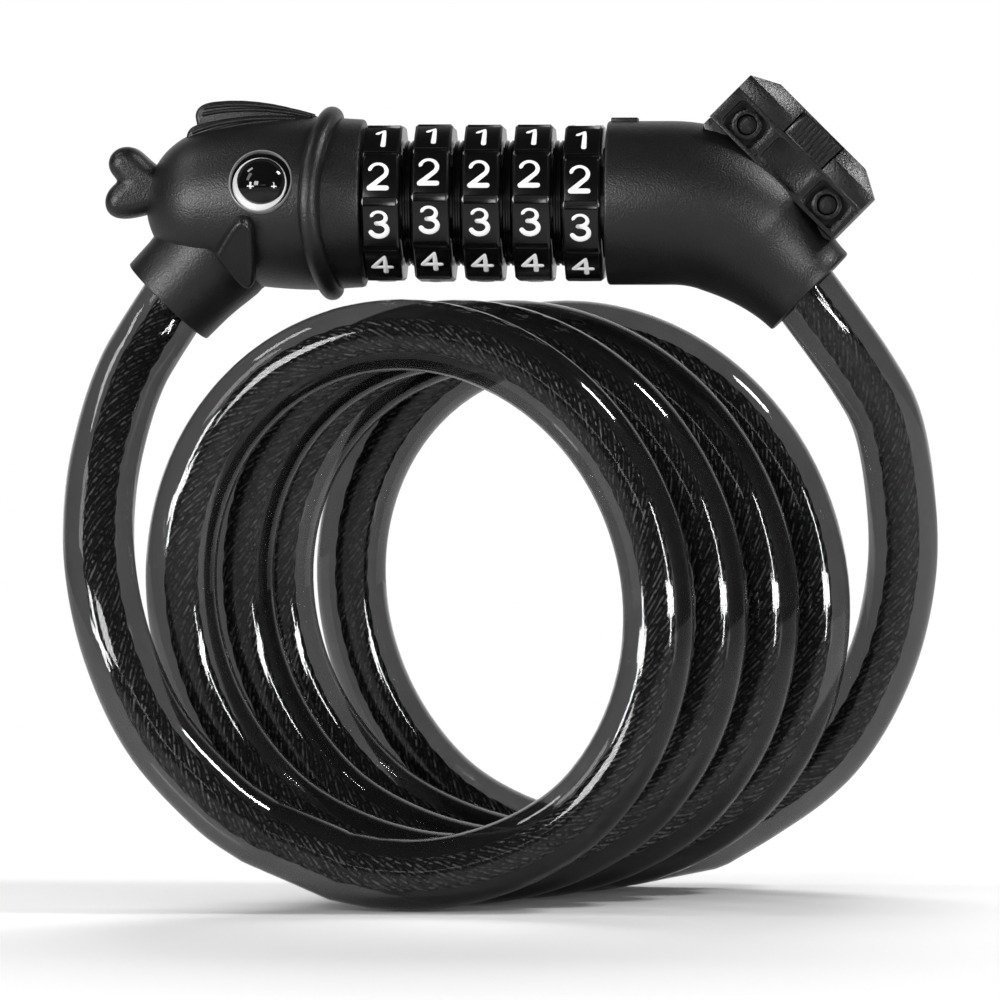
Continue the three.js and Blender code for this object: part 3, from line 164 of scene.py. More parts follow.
class Bench:
    """Thin wrappers round the mesh operators."""

    @staticmethod
    def clear() -> None:
        """Leaves edit mode, with nothing selected."""
        active = bpy.context.view_layer.objects.active
        if active is not None and active.mode != "OBJECT":
            bpy.ops.object.mode_set(mode="OBJECT")
        bpy.ops.object.select_all(action="DESELECT")

    @staticmethod
    def take(*objects: Object) -> None:
        """Selects these objects alone, the first of them active."""
        Bench.clear()
        for obj in objects:
            obj.select_set(True)
        bpy.context.view_layer.objects.active = objects[0]

    @staticmethod
    def open(obj: Object) -> None:
        """Goes into edit mode on one object.

        Args:
            obj: the object.
        """
        Bench.take(obj)
        bpy.ops.object.mode_set(mode="EDIT")
        bpy.ops.mesh.select_mode(type="VERT")

    @staticmethod
    def named(name: str) -> Object:
        """Names the active object and its mesh, and sets its place in its mesh.

        Args:
            name: the name.

        Returns:
            The active object.
        """
        obj = bpy.context.view_layer.objects.active
        obj.name = name
        obj.data.name = name
        bpy.ops.object.transform_apply(location=True, rotation=True, scale=True)
        return obj

    @staticmethod
    def pick_faces(obj: Object, test: Callable[[Vector, Vector], bool]) -> int:
        """Selects the faces whose centre and normal pass a test, in edit mode.

        Args:
            obj: the object in edit mode.
            test: takes a face's centre and normal.

        Returns:
            How many faces are selected.
        """
        bpy.ops.mesh.select_mode(type="FACE")
        bpy.ops.mesh.select_all(action="DESELECT")
        mesh = bmesh.from_edit_mesh(obj.data)
        found = 0
        for face in mesh.faces:
            if test(face.calc_center_median(), face.normal):
                face.select_set(True)
                found += 1
        bmesh.update_edit_mesh(obj.data)
        return found

    @staticmethod
    def pick_edges(obj: Object, test: Callable[[Vector, Vector], bool]) -> int:
        """Selects the edges whose two ends pass a test, in edit mode.

        Args:
            obj: the object in edit mode.
            test: takes the places of an edge's two ends.

        Returns:
            How many edges are selected.
        """
        bpy.ops.mesh.select_mode(type="EDGE")
        bpy.ops.mesh.select_all(action="DESELECT")
        mesh = bmesh.from_edit_mesh(obj.data)
        found = 0
        for edge in mesh.edges:
            if test(edge.verts[0].co, edge.verts[1].co):
                edge.select_set(True)
                found += 1
        bmesh.update_edit_mesh(obj.data)
        return found

    @staticmethod
    def outward(obj: Object) -> Object:
        """Merges a piece's doubles and turns its faces outwards.

        Args:
            obj: the piece.

        Returns:
            The same object.
        """
        Bench.open(obj)
        bpy.ops.mesh.select_all(action="SELECT")
        bpy.ops.mesh.remove_doubles(threshold=1e-7)
        bpy.ops.mesh.normals_make_consistent(inside=False)
        Bench.clear()
        return obj

    @staticmethod
    def smooth(obj: Object, degrees: float = 35.0) -> Object:
        """Shades a piece smooth, with its sharper edges kept.

        Args:
            obj: the piece.
            degrees: how sharp an edge has to be to stay.

        Returns:
            The same object.
        """
        Bench.take(obj)
        bpy.ops.object.shade_smooth_by_angle(angle=math.radians(degrees))
        return obj

    @staticmethod
    def modify(obj: Object, kind: str, **settings: object) -> Object:
        """Adds a modifier, sets it and applies it.

        Args:
            obj: the object.
            kind: the modifier's type.
            settings: its values by name.

        Returns:
            The same object.
        """
        Bench.take(obj)
        modifier = obj.modifiers.new(kind.lower(), kind)
        for name, value in settings.items():
            setattr(modifier, name, value)
        bpy.ops.object.modifier_apply(modifier=modifier.name)
        return obj

    @staticmethod
    def cut(obj: Object, tools: Iterable[Object], operation: str = "DIFFERENCE") -> Object:
        """Cuts tools out of a piece, or joins them to it, and removes them.

        Args:
            obj: the piece.
            tools: the closed shapes, which are used up.
            operation: DIFFERENCE or UNION.

        Returns:
            The same object.
        """
        for tool in tools:
            Bench.modify(obj, "BOOLEAN", operation=operation, solver="EXACT", object=tool)
            bpy.data.objects.remove(tool, do_unlink=True)
        return obj

    @staticmethod
    def round_edges(obj: Object, width: float, segments: int = 2, degrees: float = 30.0) -> Object:
        """Rounds every edge sharper than an angle, by width mm.

        Args:
            obj: the piece.
            width: how wide, in mm.
            segments: faces across it.
            degrees: how sharp an edge has to be.

        Returns:
            The same object.
        """
        Bench.modify(
            obj, "BEVEL", width=width * MM, segments=segments, limit_method="ANGLE",
            angle_limit=math.radians(degrees), use_clamp_overlap=True,
        )
        return Bench.smooth(obj, 40.0)

    @staticmethod
    def join(*objects: Object) -> Object:
        """Joins objects into the first one's mesh.

        Args:
            objects: the objects, of which the first stays.

        Returns:
            The first object.
        """
        Bench.take(*objects)
        bpy.ops.object.join()
        return objects[0]

    @staticmethod
    def copy(obj: Object, name: str) -> Object:
        """A copy of a piece with a mesh of its own.

        Args:
            obj: the piece.
            name: the copy's name.

        Returns:
            The copy.
        """
        Bench.take(obj)
        bpy.ops.object.duplicate(linked=False)
        twin = bpy.context.view_layer.objects.active
        twin.name = name
        twin.data.name = name
        return twin

    @staticmethod
    def turn(obj: Object, degrees: float, place: Place) -> Object:
        """Turns a piece about a place's along line, and sets the turn in its mesh.

        Args:
            obj: the piece.
            degrees: how far.
            place: whose along line it turns about.

        Returns:
            The same object.
        """
        Bench.take(obj)
        turned = Matrix.Rotation(math.radians(degrees), 4, place.along)
        obj.matrix_world = Matrix.Translation(place.corner) @ turned @ Matrix.Translation(-place.corner)
        bpy.ops.object.transform_apply(location=True, rotation=True, scale=True)
        return obj


class Shape:
    """Starts of pieces: each method adds a primitive and works it into a closed form."""

    @staticmethod
    def revolve(name: str, profile: Sequence[Pair], place: Place, steps: int = 72) -> Object:
        """Spins a profile about a place's along line.

        Args:
            name: the piece's name.
            profile: (along, radius) pairs in mm, both ends on the line or the two ends meeting.
            place: where the line starts and how it lies.
            steps: how many faces lie round it.

        Returns:
            The closed piece.
        """
        Bench.clear()
        points = [place.at(a, r) for a, r in profile]
        bpy.ops.mesh.primitive_plane_add(size=MM, location=points[0])
        obj = Bench.named(name)
        Bench.open(obj)
        bpy.ops.mesh.select_all(action="SELECT")
        bpy.ops.mesh.merge(type="CENTER")
        for before, after in zip(points, points[1:]):
            bpy.ops.mesh.extrude_vertices_move(TRANSFORM_OT_translate={"value": after - before})
        bpy.ops.mesh.select_all(action="SELECT")
        bpy.ops.mesh.spin(steps=steps, angle=math.tau, center=place.corner, axis=place.along)
        return Bench.smooth(Bench.outward(obj))

    @staticmethod
    def slab(name: str, outline: Sequence[Pair], place: Place, depth: Pair) -> Object:
        """Pushes a flat outline out of its drawing.

        Args:
            name: the piece's name.
            outline: (along, rise) pairs in mm.
            place: where the drawing lies.
            depth: how far out it starts and ends, in mm.

        Returns:
            The closed piece.
        """
        Bench.clear()
        bpy.ops.mesh.primitive_circle_add(vertices=len(outline), radius=MM, fill_type="NGON")
        obj = Bench.named(name)
        for vertex, (a, r) in zip(obj.data.vertices, outline):
            vertex.co = place.at(a, r, depth[0])
        Bench.open(obj)
        bpy.ops.mesh.select_all(action="SELECT")
        push = place.out() * (depth[1] - depth[0]) * MM
        bpy.ops.mesh.extrude_region_move(TRANSFORM_OT_translate={"value": push})
        return Bench.outward(obj)

    @staticmethod
    def box(name: str, place: Place, along: Pair, rise: Pair, out: Pair) -> Object:
        """A block between three pairs of bounds, laid out in a place's directions.

        Args:
            name: the piece's name.
            place: how it lies.
            along: its bounds along, in mm.
            rise: its bounds up, in mm.
            out: its bounds outwards, in mm.

        Returns:
            The closed block.
        """
        outline = [(along[0], rise[0]), (along[1], rise[0]), (along[1], rise[1]), (along[0], rise[1])]
        return Shape.slab(name, outline, place, out)

    @staticmethod
    def pillow(
        name: str, outline: Sequence[Pair], place: Place, half: float, steps: Sequence[Pair], voxel: float,
        rounds: int,
    ) -> Object:
        """A flat outline puffed up on both faces, and softened.

        Args:
            name: the piece's name.
            outline: (along, rise) pairs in mm.
            place: where the drawing lies, in the middle of the piece.
            half: half the thickness at the outline, in mm.
            steps: how far each step of the puffing runs in, and how far it stands out, in mm.
            voxel: the mesh's grain in mm.
            rounds: how often it is smoothed.

        Returns:
            The closed piece.
        """
        obj = Shape.slab(name, outline, place, (-half, half))
        Bench.open(obj)
        Bench.pick_faces(obj, lambda centre, normal: abs(normal.dot(place.out())) > 0.95)
        for run_in, stand_out in steps:
            bpy.ops.mesh.inset(thickness=run_in * MM, depth=stand_out * MM)
        Bench.outward(obj)
        Bench.modify(obj, "REMESH", mode="VOXEL", voxel_size=voxel * MM)
        Bench.modify(obj, "SMOOTH", factor=0.5, iterations=rounds)
        return Bench.smooth(obj, 80.0)

    @staticmethod
    def crown(run_in: float, stand_out: float, count: int = 6) -> list[Pair]:
        """Puffing steps that follow a quarter of an ellipse.

        Args:
            run_in: the ellipse's half width, in mm.
            stand_out: its half height, in mm.
            count: how many steps.

        Returns:
            (run in, stand out) pairs in mm.
        """
        turns = [math.radians(90 * i / count) for i in range(count + 1)]
        return [
            (run_in * (math.cos(a) - math.cos(b)), stand_out * (math.sin(b) - math.sin(a)))
            for a, b in zip(turns, turns[1:])
        ]

    @staticmethod
    def dome(end: Vector, before: Vector, radius: float) -> list[tuple[Vector, float]]:
        """Knots that round off a tube's end: where each stands, and its share of the radius.

        Args:
            end: the tube's end.
            before: the point before it.
            radius: the tube's radius in mm.

        Returns:
            (place, share of the radius) pairs.
        """
        reach = (end - before).normalized() * radius * MM
        angles = [math.radians(a) for a in (25, 50, 75)]
        return [(end + reach * math.sin(a), math.cos(a)) for a in angles]

    @staticmethod
    def tube(name: str, points: Sequence[Vector], radius: float, ring: int, rounded: bool = False) -> Object:
        """A round tube along points: a bevelled curve made a mesh.

        Args:
            name: the piece's name.
            points: the line in the frame's metres.
            radius: the tube's radius in mm.
            ring: the curve's bevel resolution; a ring has 4 + 2 * ring corners.
            rounded: whether its ends are domes; else they are flat.

        Returns:
            The tube, with its length along U and its girth along V.
        """
        Bench.clear()
        curve = bpy.data.curves.new(name, "CURVE")
        curve.dimensions = "3D"
        curve.bevel_depth = radius * MM
        curve.bevel_resolution = ring
        curve.use_fill_caps = True
        knots = [(point, 1.0) for point in points]
        if rounded:
            first = Shape.dome(points[0], points[1], radius)
            knots = [*reversed(first), *knots, *Shape.dome(points[-1], points[-2], radius)]
        spline = curve.splines.new("POLY")
        spline.points.add(len(knots) - 1)
        for knot, (point, share) in zip(spline.points, knots):
            knot.co = (*point, 1.0)
            knot.radius = share
        obj = bpy.data.objects.new(name, curve)
        bpy.context.collection.objects.link(obj)
        Bench.take(obj)
        bpy.ops.object.convert(target="MESH")
        made = bpy.context.view_layer.objects.active
        made.data.name = name
        return Bench.smooth(Bench.outward(made), 50.0)


# ---- finishes -----------------------------------------------------------------------


class Value:
    """A number socket in Python arithmetic: each sign adds its Math node."""

    def __init__(self, paint: "Paint", socket: bpy.types.NodeSocket) -> None:
        """Wraps a socket of a material under work."""
        self.paint = paint
        self.socket = socket

    def _maths(self, operation: str, *terms: object) -> "Value":
        """Adds a Math node over these terms."""
        return self.paint.node("ShaderNodeMath", {"operation": operation}, dict(enumerate(terms)))

    def __add__(self, other: object) -> "Value":
        """self + other."""
        return self._maths("ADD", self, other)

    def __sub__(self, other: object) -> "Value":
        """self - other."""
        return self._maths("SUBTRACT", self, other)

    def __rsub__(self, other: object) -> "Value":
        """other - self."""
        return self._maths("SUBTRACT", other, self)

    def __mul__(self, other: object) -> "Value":
        """self * other."""
        return self._maths("MULTIPLY", self, other)

    def __pow__(self, other: object) -> "Value":
        """self to the power of other."""
        return self._maths("POWER", self, other)

    __radd__ = __add__
    __rmul__ = __mul__

    def sine(self) -> "Value":
        """The sine of self, in radians."""
        return self._maths("SINE", self)

    def most(self, other: object) -> "Value":
        """The larger of self and other."""
        return self._maths("MAXIMUM", self, other)

    def ramp(self, low: float, high: float) -> "Value":
        """0 up to low, 1 from high on, smooth between them.

        Args:
            low: where it leaves 0.
            high: where it reaches 1.

        Returns:
            The ramped value.
        """
        settings = {"interpolation_type": "SMOOTHSTEP"}
        inputs = {"Value": self, "From Min": low, "From Max": high}
        return self.paint.node("ShaderNodeMapRange", settings, inputs)


class Paint:
    """A material or a world under work."""

    def __init__(self, tree: bpy.types.NodeTree) -> None:
        """Starts from an empty node tree."""
        self.tree = tree
        tree.nodes.clear()

    def node(
        self, kind: str, settings: dict | None = None, inputs: dict | None = None, output: object = 0,
    ) -> Value:
        """Adds a node.

        Args:
            kind: the node's type.
            settings: its properties, which are set first; "stops" are a ramp's.
            inputs: its sockets' values or links, by name or number.
            output: which of its outputs is given back.

        Returns:
            That output.
        """
        made = self.tree.nodes.new(kind)
        for name, value in (settings or {}).items():
            if name == "stops":
                self._set_stops(made.color_ramp, value)
            else:
                setattr(made, name, value)
        for name, value in (inputs or {}).items():
            socket = made.inputs[name]
            if isinstance(value, Value):
                self.tree.links.new(value.socket, socket)
            elif isinstance(value, (int, float)) and socket.type == "RGBA":
                socket.default_value = (value, value, value, 1.0)
            elif isinstance(value, tuple) and socket.type == "RGBA":
                socket.default_value = (*value, 1.0)
            else:
                socket.default_value = value
        return Value(self, made.outputs[output])

    @staticmethod
    def _set_stops(ramp: bpy.types.ColorRamp, stops: Sequence[Pair]) -> None:
        """Sets a ramp's grey stops.

        Args:
            ramp: the ramp.
            stops: (position, grey) pairs.
        """
        while len(ramp.elements) < len(stops):
            ramp.elements.new(0.5)
        for element, (position, grey) in zip(ramp.elements, stops):
            element.position = position
            element.color = (grey, grey, grey, 1.0)

    def place(self) -> Value:
        """The point on the piece, in metres of the frame."""
        return self.node("ShaderNodeTexCoord", output="Object")

    def part(self, vector: Value, axis: int) -> Value:
        """One part of a vector: 0, 1 or 2 for its X, Y or Z."""
        return self.node("ShaderNodeSeparateXYZ", {}, {0: vector}, output=axis)

    def noise(self, size: float, detail: float = 2.0, source: Value | None = None) -> Value:
        """Noise whose grains are size mm across, from 0 to 1.

        Args:
            size: a grain's size in mm.
            detail: its finer layers.
            source: the vector it reads, or the place on the piece.

        Returns:
            The noise.
        """
        inputs = {"Vector": source or self.place(), "Scale": 1.0 / (size * MM), "Detail": detail}
        return self.node("ShaderNodeTexNoise", {}, inputs)

    def bump(self, height: Value, depth: float, strength: float = 1.0) -> Value:
        """A bump depth mm high where height is 1.

        Args:
            height: the height, 0 to 1.
            depth: the bump's height in mm.
            strength: its share.

        Returns:
            The bent normal.
        """
        inputs = {"Height": height, "Distance": depth * MM, "Strength": strength}
        return self.node("ShaderNodeBump", {}, inputs)

    def tint(self, share: Value, low: Triple, high: Triple) -> Value:
        """A colour between two, by share.

        Args:
            share: 0 for the first, 1 for the second.
            low: the first colour.
            high: the second colour.

        Returns:
            The mixed colour.
        """
        settings = {"data_type": "RGBA"}
        return self.node("ShaderNodeMix", settings, {0: share, 6: low, 7: high}, output=2)

    def close(self, surface: Value, kind: str = "ShaderNodeOutputMaterial") -> None:
        """Links the finished surface to the output.

        Args:
            surface: the finished shader.
            kind: the output node's type.
        """
        out = self.tree.nodes.new(kind)
        self.tree.links.new(surface.socket, out.inputs["Surface"])


class Finish:
    """A finish that makes its material once and puts it on pieces."""

    name: str

    def mix(self, paint: Paint) -> Value:
        """Adds the finish's nodes and gives back its surface."""
        raise NotImplementedError

    def material(self) -> bpy.types.Material:
        """The finish's material, made when it is first asked for.

        Returns:
            The material.
        """
        made = bpy.data.materials.get(self.name)
        if made is None:
            made = bpy.data.materials.new(self.name)
            made.use_nodes = True
            paint = Paint(made.node_tree)
            paint.close(self.mix(paint))
        return made

    def dress(self, obj: Object) -> Object:
        """Puts the finish on a piece.

        Args:
            obj: the piece.

        Returns:
            The same piece.
        """
        obj.data.materials.clear()
        obj.data.materials.append(self.material())
        return obj

    def dress_node(self, node: str) -> None:
        """Puts the finish on a solid of the frame that stays in sight.

        Args:
            node: the solid's name.
        """
        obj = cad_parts[node]
        if not obj.material_slots:
            obj.data.materials.append(self.material())
        for material_slot in obj.material_slots:
            material_slot.material = self.material()


@dataclass(frozen=True)
class GrainedPlastic(Finish):
    """A matt moulding with a fine grain that glints in the light.

    Grain and patch are sizes in mm, and depth is the grain's height in mm. Mottle is how far the tone
    strays from its middle, as a share, and spread how far the roughness does. Cool is how much more blue
    the darkest and the palest tone hold.
    """

    name: str
    colour: float
    roughness: float
    grain: float
    depth: float
    glint: float = 0.0
    patch: float = 14.0
    patch_share: float = 0.4
    mottle: float = 0.4
    spread: float = 0.3
    cool: Pair = (1.02, 1.03)
    speck_size: float = 1.25
    speck_reach: Pair = (0.6, 0.8)

    def mix(self, paint: Paint) -> Value:
        """Grain as bump, with the gloss broken up by it.

        Args:
            paint: the material under work.

        Returns:
            The surface.
        """
        place = paint.place()
        fine = paint.noise(self.grain, 3.0, place)
        broad = paint.noise(self.patch, 2.0, place)
        speck = paint.noise(self.grain * self.speck_size, 1.0, place).ramp(*self.speck_reach)
        low = self.colour * (1 - self.mottle)
        high = self.colour * (1 + self.mottle)
        tone = broad * self.patch_share + fine * (1 - self.patch_share)
        return paint.node("ShaderNodeBsdfPrincipled", {}, {
            "Base Color": paint.tint(
                tone, (low, low, low * self.cool[0]), (high, high, high * self.cool[1]),
            ),
            "Roughness": self.roughness + (fine - 0.5) * self.spread - speck * self.glint,
            "Normal": paint.bump(fine, self.depth),
        })


@dataclass(frozen=True)
class GlossPlastic(Finish):
    """A polished moulding with a faint ripple.

    The ripple is a size and a height in mm, and the patches' size is in mm too.
    """

    name: str
    colour: float
    roughness: float
    ripple: Pair = (1.8, 0.02)
    patch: float = 5.0
    mottle: float = 0.1
    spread: float = 0.1

    def mix(self, paint: Paint) -> Value:
        """Polished, with a slight orange peel and a few duller patches.

        Args:
            paint: the material under work.

        Returns:
            The surface.
        """
        place = paint.place()
        size, height = self.ripple
        ripple = paint.noise(size, 2.0, place)
        cloud = paint.noise(self.patch, 3.0, place)
        low = self.colour * (1 - self.mottle)
        high = self.colour * (1 + self.mottle)
        return paint.node("ShaderNodeBsdfPrincipled", {}, {
            "Base Color": paint.tint(cloud, (low, low, low), (high, high, high)),
            "Roughness": self.roughness + (cloud - 0.5) * self.spread,
            "Normal": paint.bump(ripple, height),
        })


@dataclass(frozen=True)
class WorkedMetal(Finish):
    """Turned or stamped metal, with fine marks along one direction.

    The mark is a size and a height in mm, drawn out by the stretch.
    """

    name: str
    dull: Triple
    bright: Triple
    roughness: float
    stretch: Triple = (1.0, 14.0, 14.0)
    mark: Pair = (3.0, 0.02)
    spread: float = 0.2

    def mix(self, paint: Paint) -> Value:
        """Fine tool marks in tone, gloss and bump.

        Args:
            paint: the material under work.

        Returns:
            The surface.
        """
        drawn = paint.node("ShaderNodeMapping", {}, {"Vector": paint.place(), "Scale": self.stretch})
        size, height = self.mark
        marks = paint.noise(size, 4.0, drawn)
        return paint.node("ShaderNodeBsdfPrincipled", {}, {
            "Base Color": paint.tint(marks, self.dull, self.bright),
            "Metallic": 1.0,
            "Roughness": self.roughness + (marks - 0.5) * self.spread,
            "Normal": paint.bump(marks, height),
        })


@dataclass(frozen=True)
class SmokySheath(Finish):
    """Smoke-tinted soft plastic that the cable's core shows through.

    Its smoke is the share of light held back by the near wall and by the far wall, uneven by a little.
    Its glare is the share that the skin mirrors face on, and glare_rise the power by which that grows
    towards the edge. The ripple is a size and a height in mm.
    """

    name: str = "cable_sheath_smoke"
    colour: float = 0.02
    smoke: Pair = (0.24, 0.915)
    roughness: float = 0.06
    glare: float = 0.04
    glare_rise: float = 5.0
    uneven: float = 0.04
    patch: float = 9.0
    mottle: float = 0.15
    ripple: Pair = (7.0, 0.05)

    def mix(self, paint: Paint) -> Value:
        """Smoke that dims what lies behind it, more so on the far side, with a gloss on top.

        Args:
            paint: the material under work.

        Returns:
            The surface.
        """
        size, height = self.ripple
        cloud = paint.noise(self.patch, 2.0)
        ripple = paint.bump(paint.noise(size, 2.0), height)
        low = self.colour * (1 - self.mottle)
        high = self.colour * (1 + self.mottle)
        colour = paint.tint(cloud, (low, low, low), (high, high, high))
        dark = paint.node("ShaderNodeBsdfDiffuse", {}, {"Color": colour})
        clear = paint.node("ShaderNodeBsdfTransparent", {}, {"Color": 1.0})
        inward = paint.node("ShaderNodeNewGeometry", output="Backfacing")
        near, far = self.smoke
        smoke = near + inward * (far - near) + (cloud - 0.5) * self.uneven
        body = paint.node("ShaderNodeMixShader", {}, {0: smoke, 1: clear, 2: dark})
        gloss = {"Color": 1.0, "Roughness": self.roughness, "Normal": ripple}
        skin = paint.node("ShaderNodeBsdfGlossy", {}, gloss)
        facing = paint.node("ShaderNodeLayerWeight", {}, {"Blend": 0.5, "Normal": ripple}, output="Facing")
        share = self.glare + facing ** self.glare_rise * (1.0 - self.glare)
        return paint.node("ShaderNodeMixShader", {}, {0: share, 1: body, 2: skin})


@dataclass(frozen=True)
class WireStrand(Finish):
    """A strand of fine galvanised wires, twisted.

    Length and spacing are in mm, spacing along the strand from wire to wire. Sharpness narrows each
    wire's crest. The colour is painted light: gap is painted shade, near black, over the strand wherever no
    glint is painted, and wire is a painted highlight on the crests, in patches by the noise's values where
    it starts and is full. A painted highlight is less metallic by its haze and smoother by its polish.
    """

    length: float
    name: str = "strand_wire"
    wires: int = 6
    spacing: float = 2.5
    # painted shade: the near-black colour of the strand between and around the painted glints
    gap: Triple = (0.012, 0.012, 0.012)
    # painted highlight: the colour of the glints on the crests
    wire: Triple = (0.95, 0.95, 0.96)
    sharpness: float = 3.0
    # where the noise starts and where it fully shows the patches of painted highlight
    painted_glint_reach: Pair = (0.42, 0.58)
    painted_glint_size: float = 0.8
    haze: float = 0.7
    roughness: float = 0.34
    polish: float = 0.14
    relief: float = 0.1

    def mix(self, paint: Paint) -> Value:
        """Wires as ridges that wind round the strand, with painted highlights on their crests and painted
        shade between and around them.

        Args:
            paint: the material under work.

        Returns:
            The surface.
        """
        sheet = paint.node("ShaderNodeUVMap", {"uv_map": "UVMap"})
        phase = paint.part(sheet, 0) * (self.length / self.spacing) - paint.part(sheet, 1) * self.wires
        ridge = (phase * math.tau).sine() * 0.5 + 0.5
        # painted highlight: crests painted bright in noise patches, painted shade everywhere else
        painted_glint_patches = paint.noise(self.painted_glint_size, 2.0).ramp(*self.painted_glint_reach)
        bright = (ridge ** self.sharpness) * painted_glint_patches
        return paint.node("ShaderNodeBsdfPrincipled", {}, {
            "Base Color": paint.tint(bright, self.gap, self.wire),
            "Metallic": 1.0 - bright * self.haze,
            "Roughness": self.roughness - bright * self.polish,
            "Normal": paint.bump(ridge, self.relief),
        })


HOUSING_BLACK = GrainedPlastic("housing_soft_black", 0.0055, 0.38, 0.32, 0.08, 0.05)
BRACKET_BLACK = GrainedPlastic("bracket_grained_black", 0.003, 0.34, 0.42, 0.07, 0.06)
DIAL_BLACK = GlossPlastic("dial_gloss_black", 0.002, 0.22)
DIGIT_WHITE = GlossPlastic("digit_white", 0.82, 0.4)
EYE_PALE = GlossPlastic("eye_white_pale", 0.62, 0.3)
EYE_RIM = GlossPlastic("eye_rim_satin", 0.22, 0.3)
EYE_BLACK = GlossPlastic("eye_dome_black", 0.003, 0.05)
# Near-black core: painted shade that shows in the gaps between the cable's strands.
CORE_DARK = GrainedPlastic("cable_core_dark", 0.006, 0.6, 0.5, 0.05)
STEEL = WorkedMetal("turned_steel", (0.42, 0.42, 0.43), (0.66, 0.66, 0.67), 0.32)
BRASS = WorkedMetal("stamped_brass", (0.5, 0.35, 0.13), (0.74, 0.56, 0.27), 0.34)
SHEATH = SmokySheath()


# ---- the cable ----------------------------------------------------------------------


@dataclass
class Route:
    """The cable's centreline from the right housing, round the coil, to the plug head."""

    turns: int = 4
    radius: float = 6.0
    half_width: float = 42.4
    half_height: float = 45.6
    pitch: float = 13.0
    shift: float = 8.35
    lean: float = 2.9
    middle: float = 0.4
    slack: float = 3.0
    slack_turn: float = 2.75
    slack_span: float = 0.22
    low: float = 4.8
    lift: float = 1.2
    lift_span: float = 14.0
    step: float = 1.5
    left_points: Sequence[Triple] = (
        (-44.2, -28.5, 17.6), (-54.9, -28.5, 29.1), (-61.8, -27.0, 42.9), (-65.5, -23.0, 57.1),
        (-66.1, -17.0, 70.4), (-64.4, -9.9, 82.5), (-62.2, -5.4, 89.9), (-59.9, -2.4, 94.6),
        (-56.3, -0.3, 100.6), (-55.4, 0.0, 102.1),
    )
    right_points: Sequence[Triple] = (
        (43.2, 28.5, 13.7), (55.6, 28.5, 23.9), (64.1, 27.0, 38.7), (67.9, 23.0, 54.5),
        (67.8, 16.8, 68.6), (65.4, 9.6, 82.0), (61.3, 4.8, 89.7), (57.0, 1.8, 96.0),
        (52.4, 0.2, 102.3), (51.4, 0.0, 103.7),
    )

    def turn_point(self, turn: float) -> Vector:
        """A point of the coil; turn counts from the front turn's lowest point.

        Args:
            turn: how many turns from there.

        Returns:
            The point, in mm.
        """
        angle = math.tau * turn
        along = turn - self.turns / 2
        slack = self.slack * math.exp(-(((turn - self.slack_turn) / self.slack_span) ** 2))
        across = self.half_width * math.sin(angle) + self.lean * math.cos(angle) - slack
        height = self.low + self.half_height * (1 - math.cos(angle))
        return Vector((self.middle + self.shift * along + across, self.pitch * along, height))

    def run(self, start: Vector, side: int, rise: float) -> tuple[Vector, Vector]:
        """The end and the direction of the straight run that leaves the coil.

        Args:
            start: where it leaves, in mm.
            side: -1 to the left, 1 to the right.
            rise: how steeply it climbs, in degrees.

        Returns:
            The end in mm, and the direction.
        """
        angle = math.radians(rise)
        drift = self.pitch / (math.tau * self.half_width)
        heading = Vector((side * math.cos(angle), side * drift, math.sin(angle))).normalized()
        return start + heading * 2 * self.radius, heading

    @staticmethod
    def spline(points: Sequence[Vector], pieces: int = 16) -> list[Vector]:
        """A centripetal curve through points, its first and last legs guided by their neighbours.

        Args:
            points: the points it goes through.
            pieces: how many pieces a leg is cut in.

        Returns:
            The points of the curve.
        """
        padded = [points[0] * 2 - points[1], *points, points[-1] * 2 - points[-2]]
        line = []
        for a, b, c, d in zip(padded, padded[1:], padded[2:], padded[3:]):
            gaps = [math.sqrt((q - p).length) for p, q in ((a, b), (b, c), (c, d))]
            leave = ((b - a) / gaps[0] - (c - a) / (gaps[0] + gaps[1]) + (c - b) / gaps[1]) * gaps[1]
            reach = ((c - b) / gaps[1] - (d - b) / (gaps[1] + gaps[2]) + (d - c) / gaps[2]) * gaps[1]
            for i in range(pieces):
                t = i / pieces
                line.append(
                    b * (2 * t**3 - 3 * t**2 + 1) + leave * (t**3 - 2 * t**2 + t)
                    + c * (3 * t**2 - 2 * t**3) + reach * (t**3 - t**2)
                )
        return [*line, points[-1]]

    def even(self, line: Sequence[Vector]) -> list[Vector]:
        """The same line with its points one step apart.

        Args:
            line: the line's points, in mm.

        Returns:
            Its new points.
        """
        marks = [0.0]
        for before, after in zip(line, line[1:]):
            marks.append(marks[-1] + (after - before).length)
        count = round(marks[-1] / self.step)
        points = []
        k = 0
        for i in range(count + 1):
            mark = marks[-1] * i / count
            while k < len(marks) - 2 and marks[k + 1] < mark:
                k += 1
            span = marks[k + 1] - marks[k]
            points.append(line[k].lerp(line[k + 1], (mark - marks[k]) / span if span else 0.0))
        return points

    def floored(self, point: Vector) -> Vector:
        """A point lifted where the solids are flattened, and in metres.

        Args:
            point: the point, in mm.

        Returns:
            The point in the frame.
        """
        lift = self.lift * (1 - smooth_step((point.z - self.low) / self.lift_span))
        return Vector((point.x - MIDDLE_X, point.y, point.z + lift)) * MM

    def lead(self, end: Vector, heading: Vector, stations: Sequence[Triple]) -> list[Vector]:
        """The stretch from the coil's run into a neck.

        Args:
            end: the run's end, in mm.
            heading: its direction.
            stations: the points it goes through, in mm.

        Returns:
            The points of the stretch.
        """
        return self.spline([end + heading * 3.0, *[Vector(station) for station in stations]])

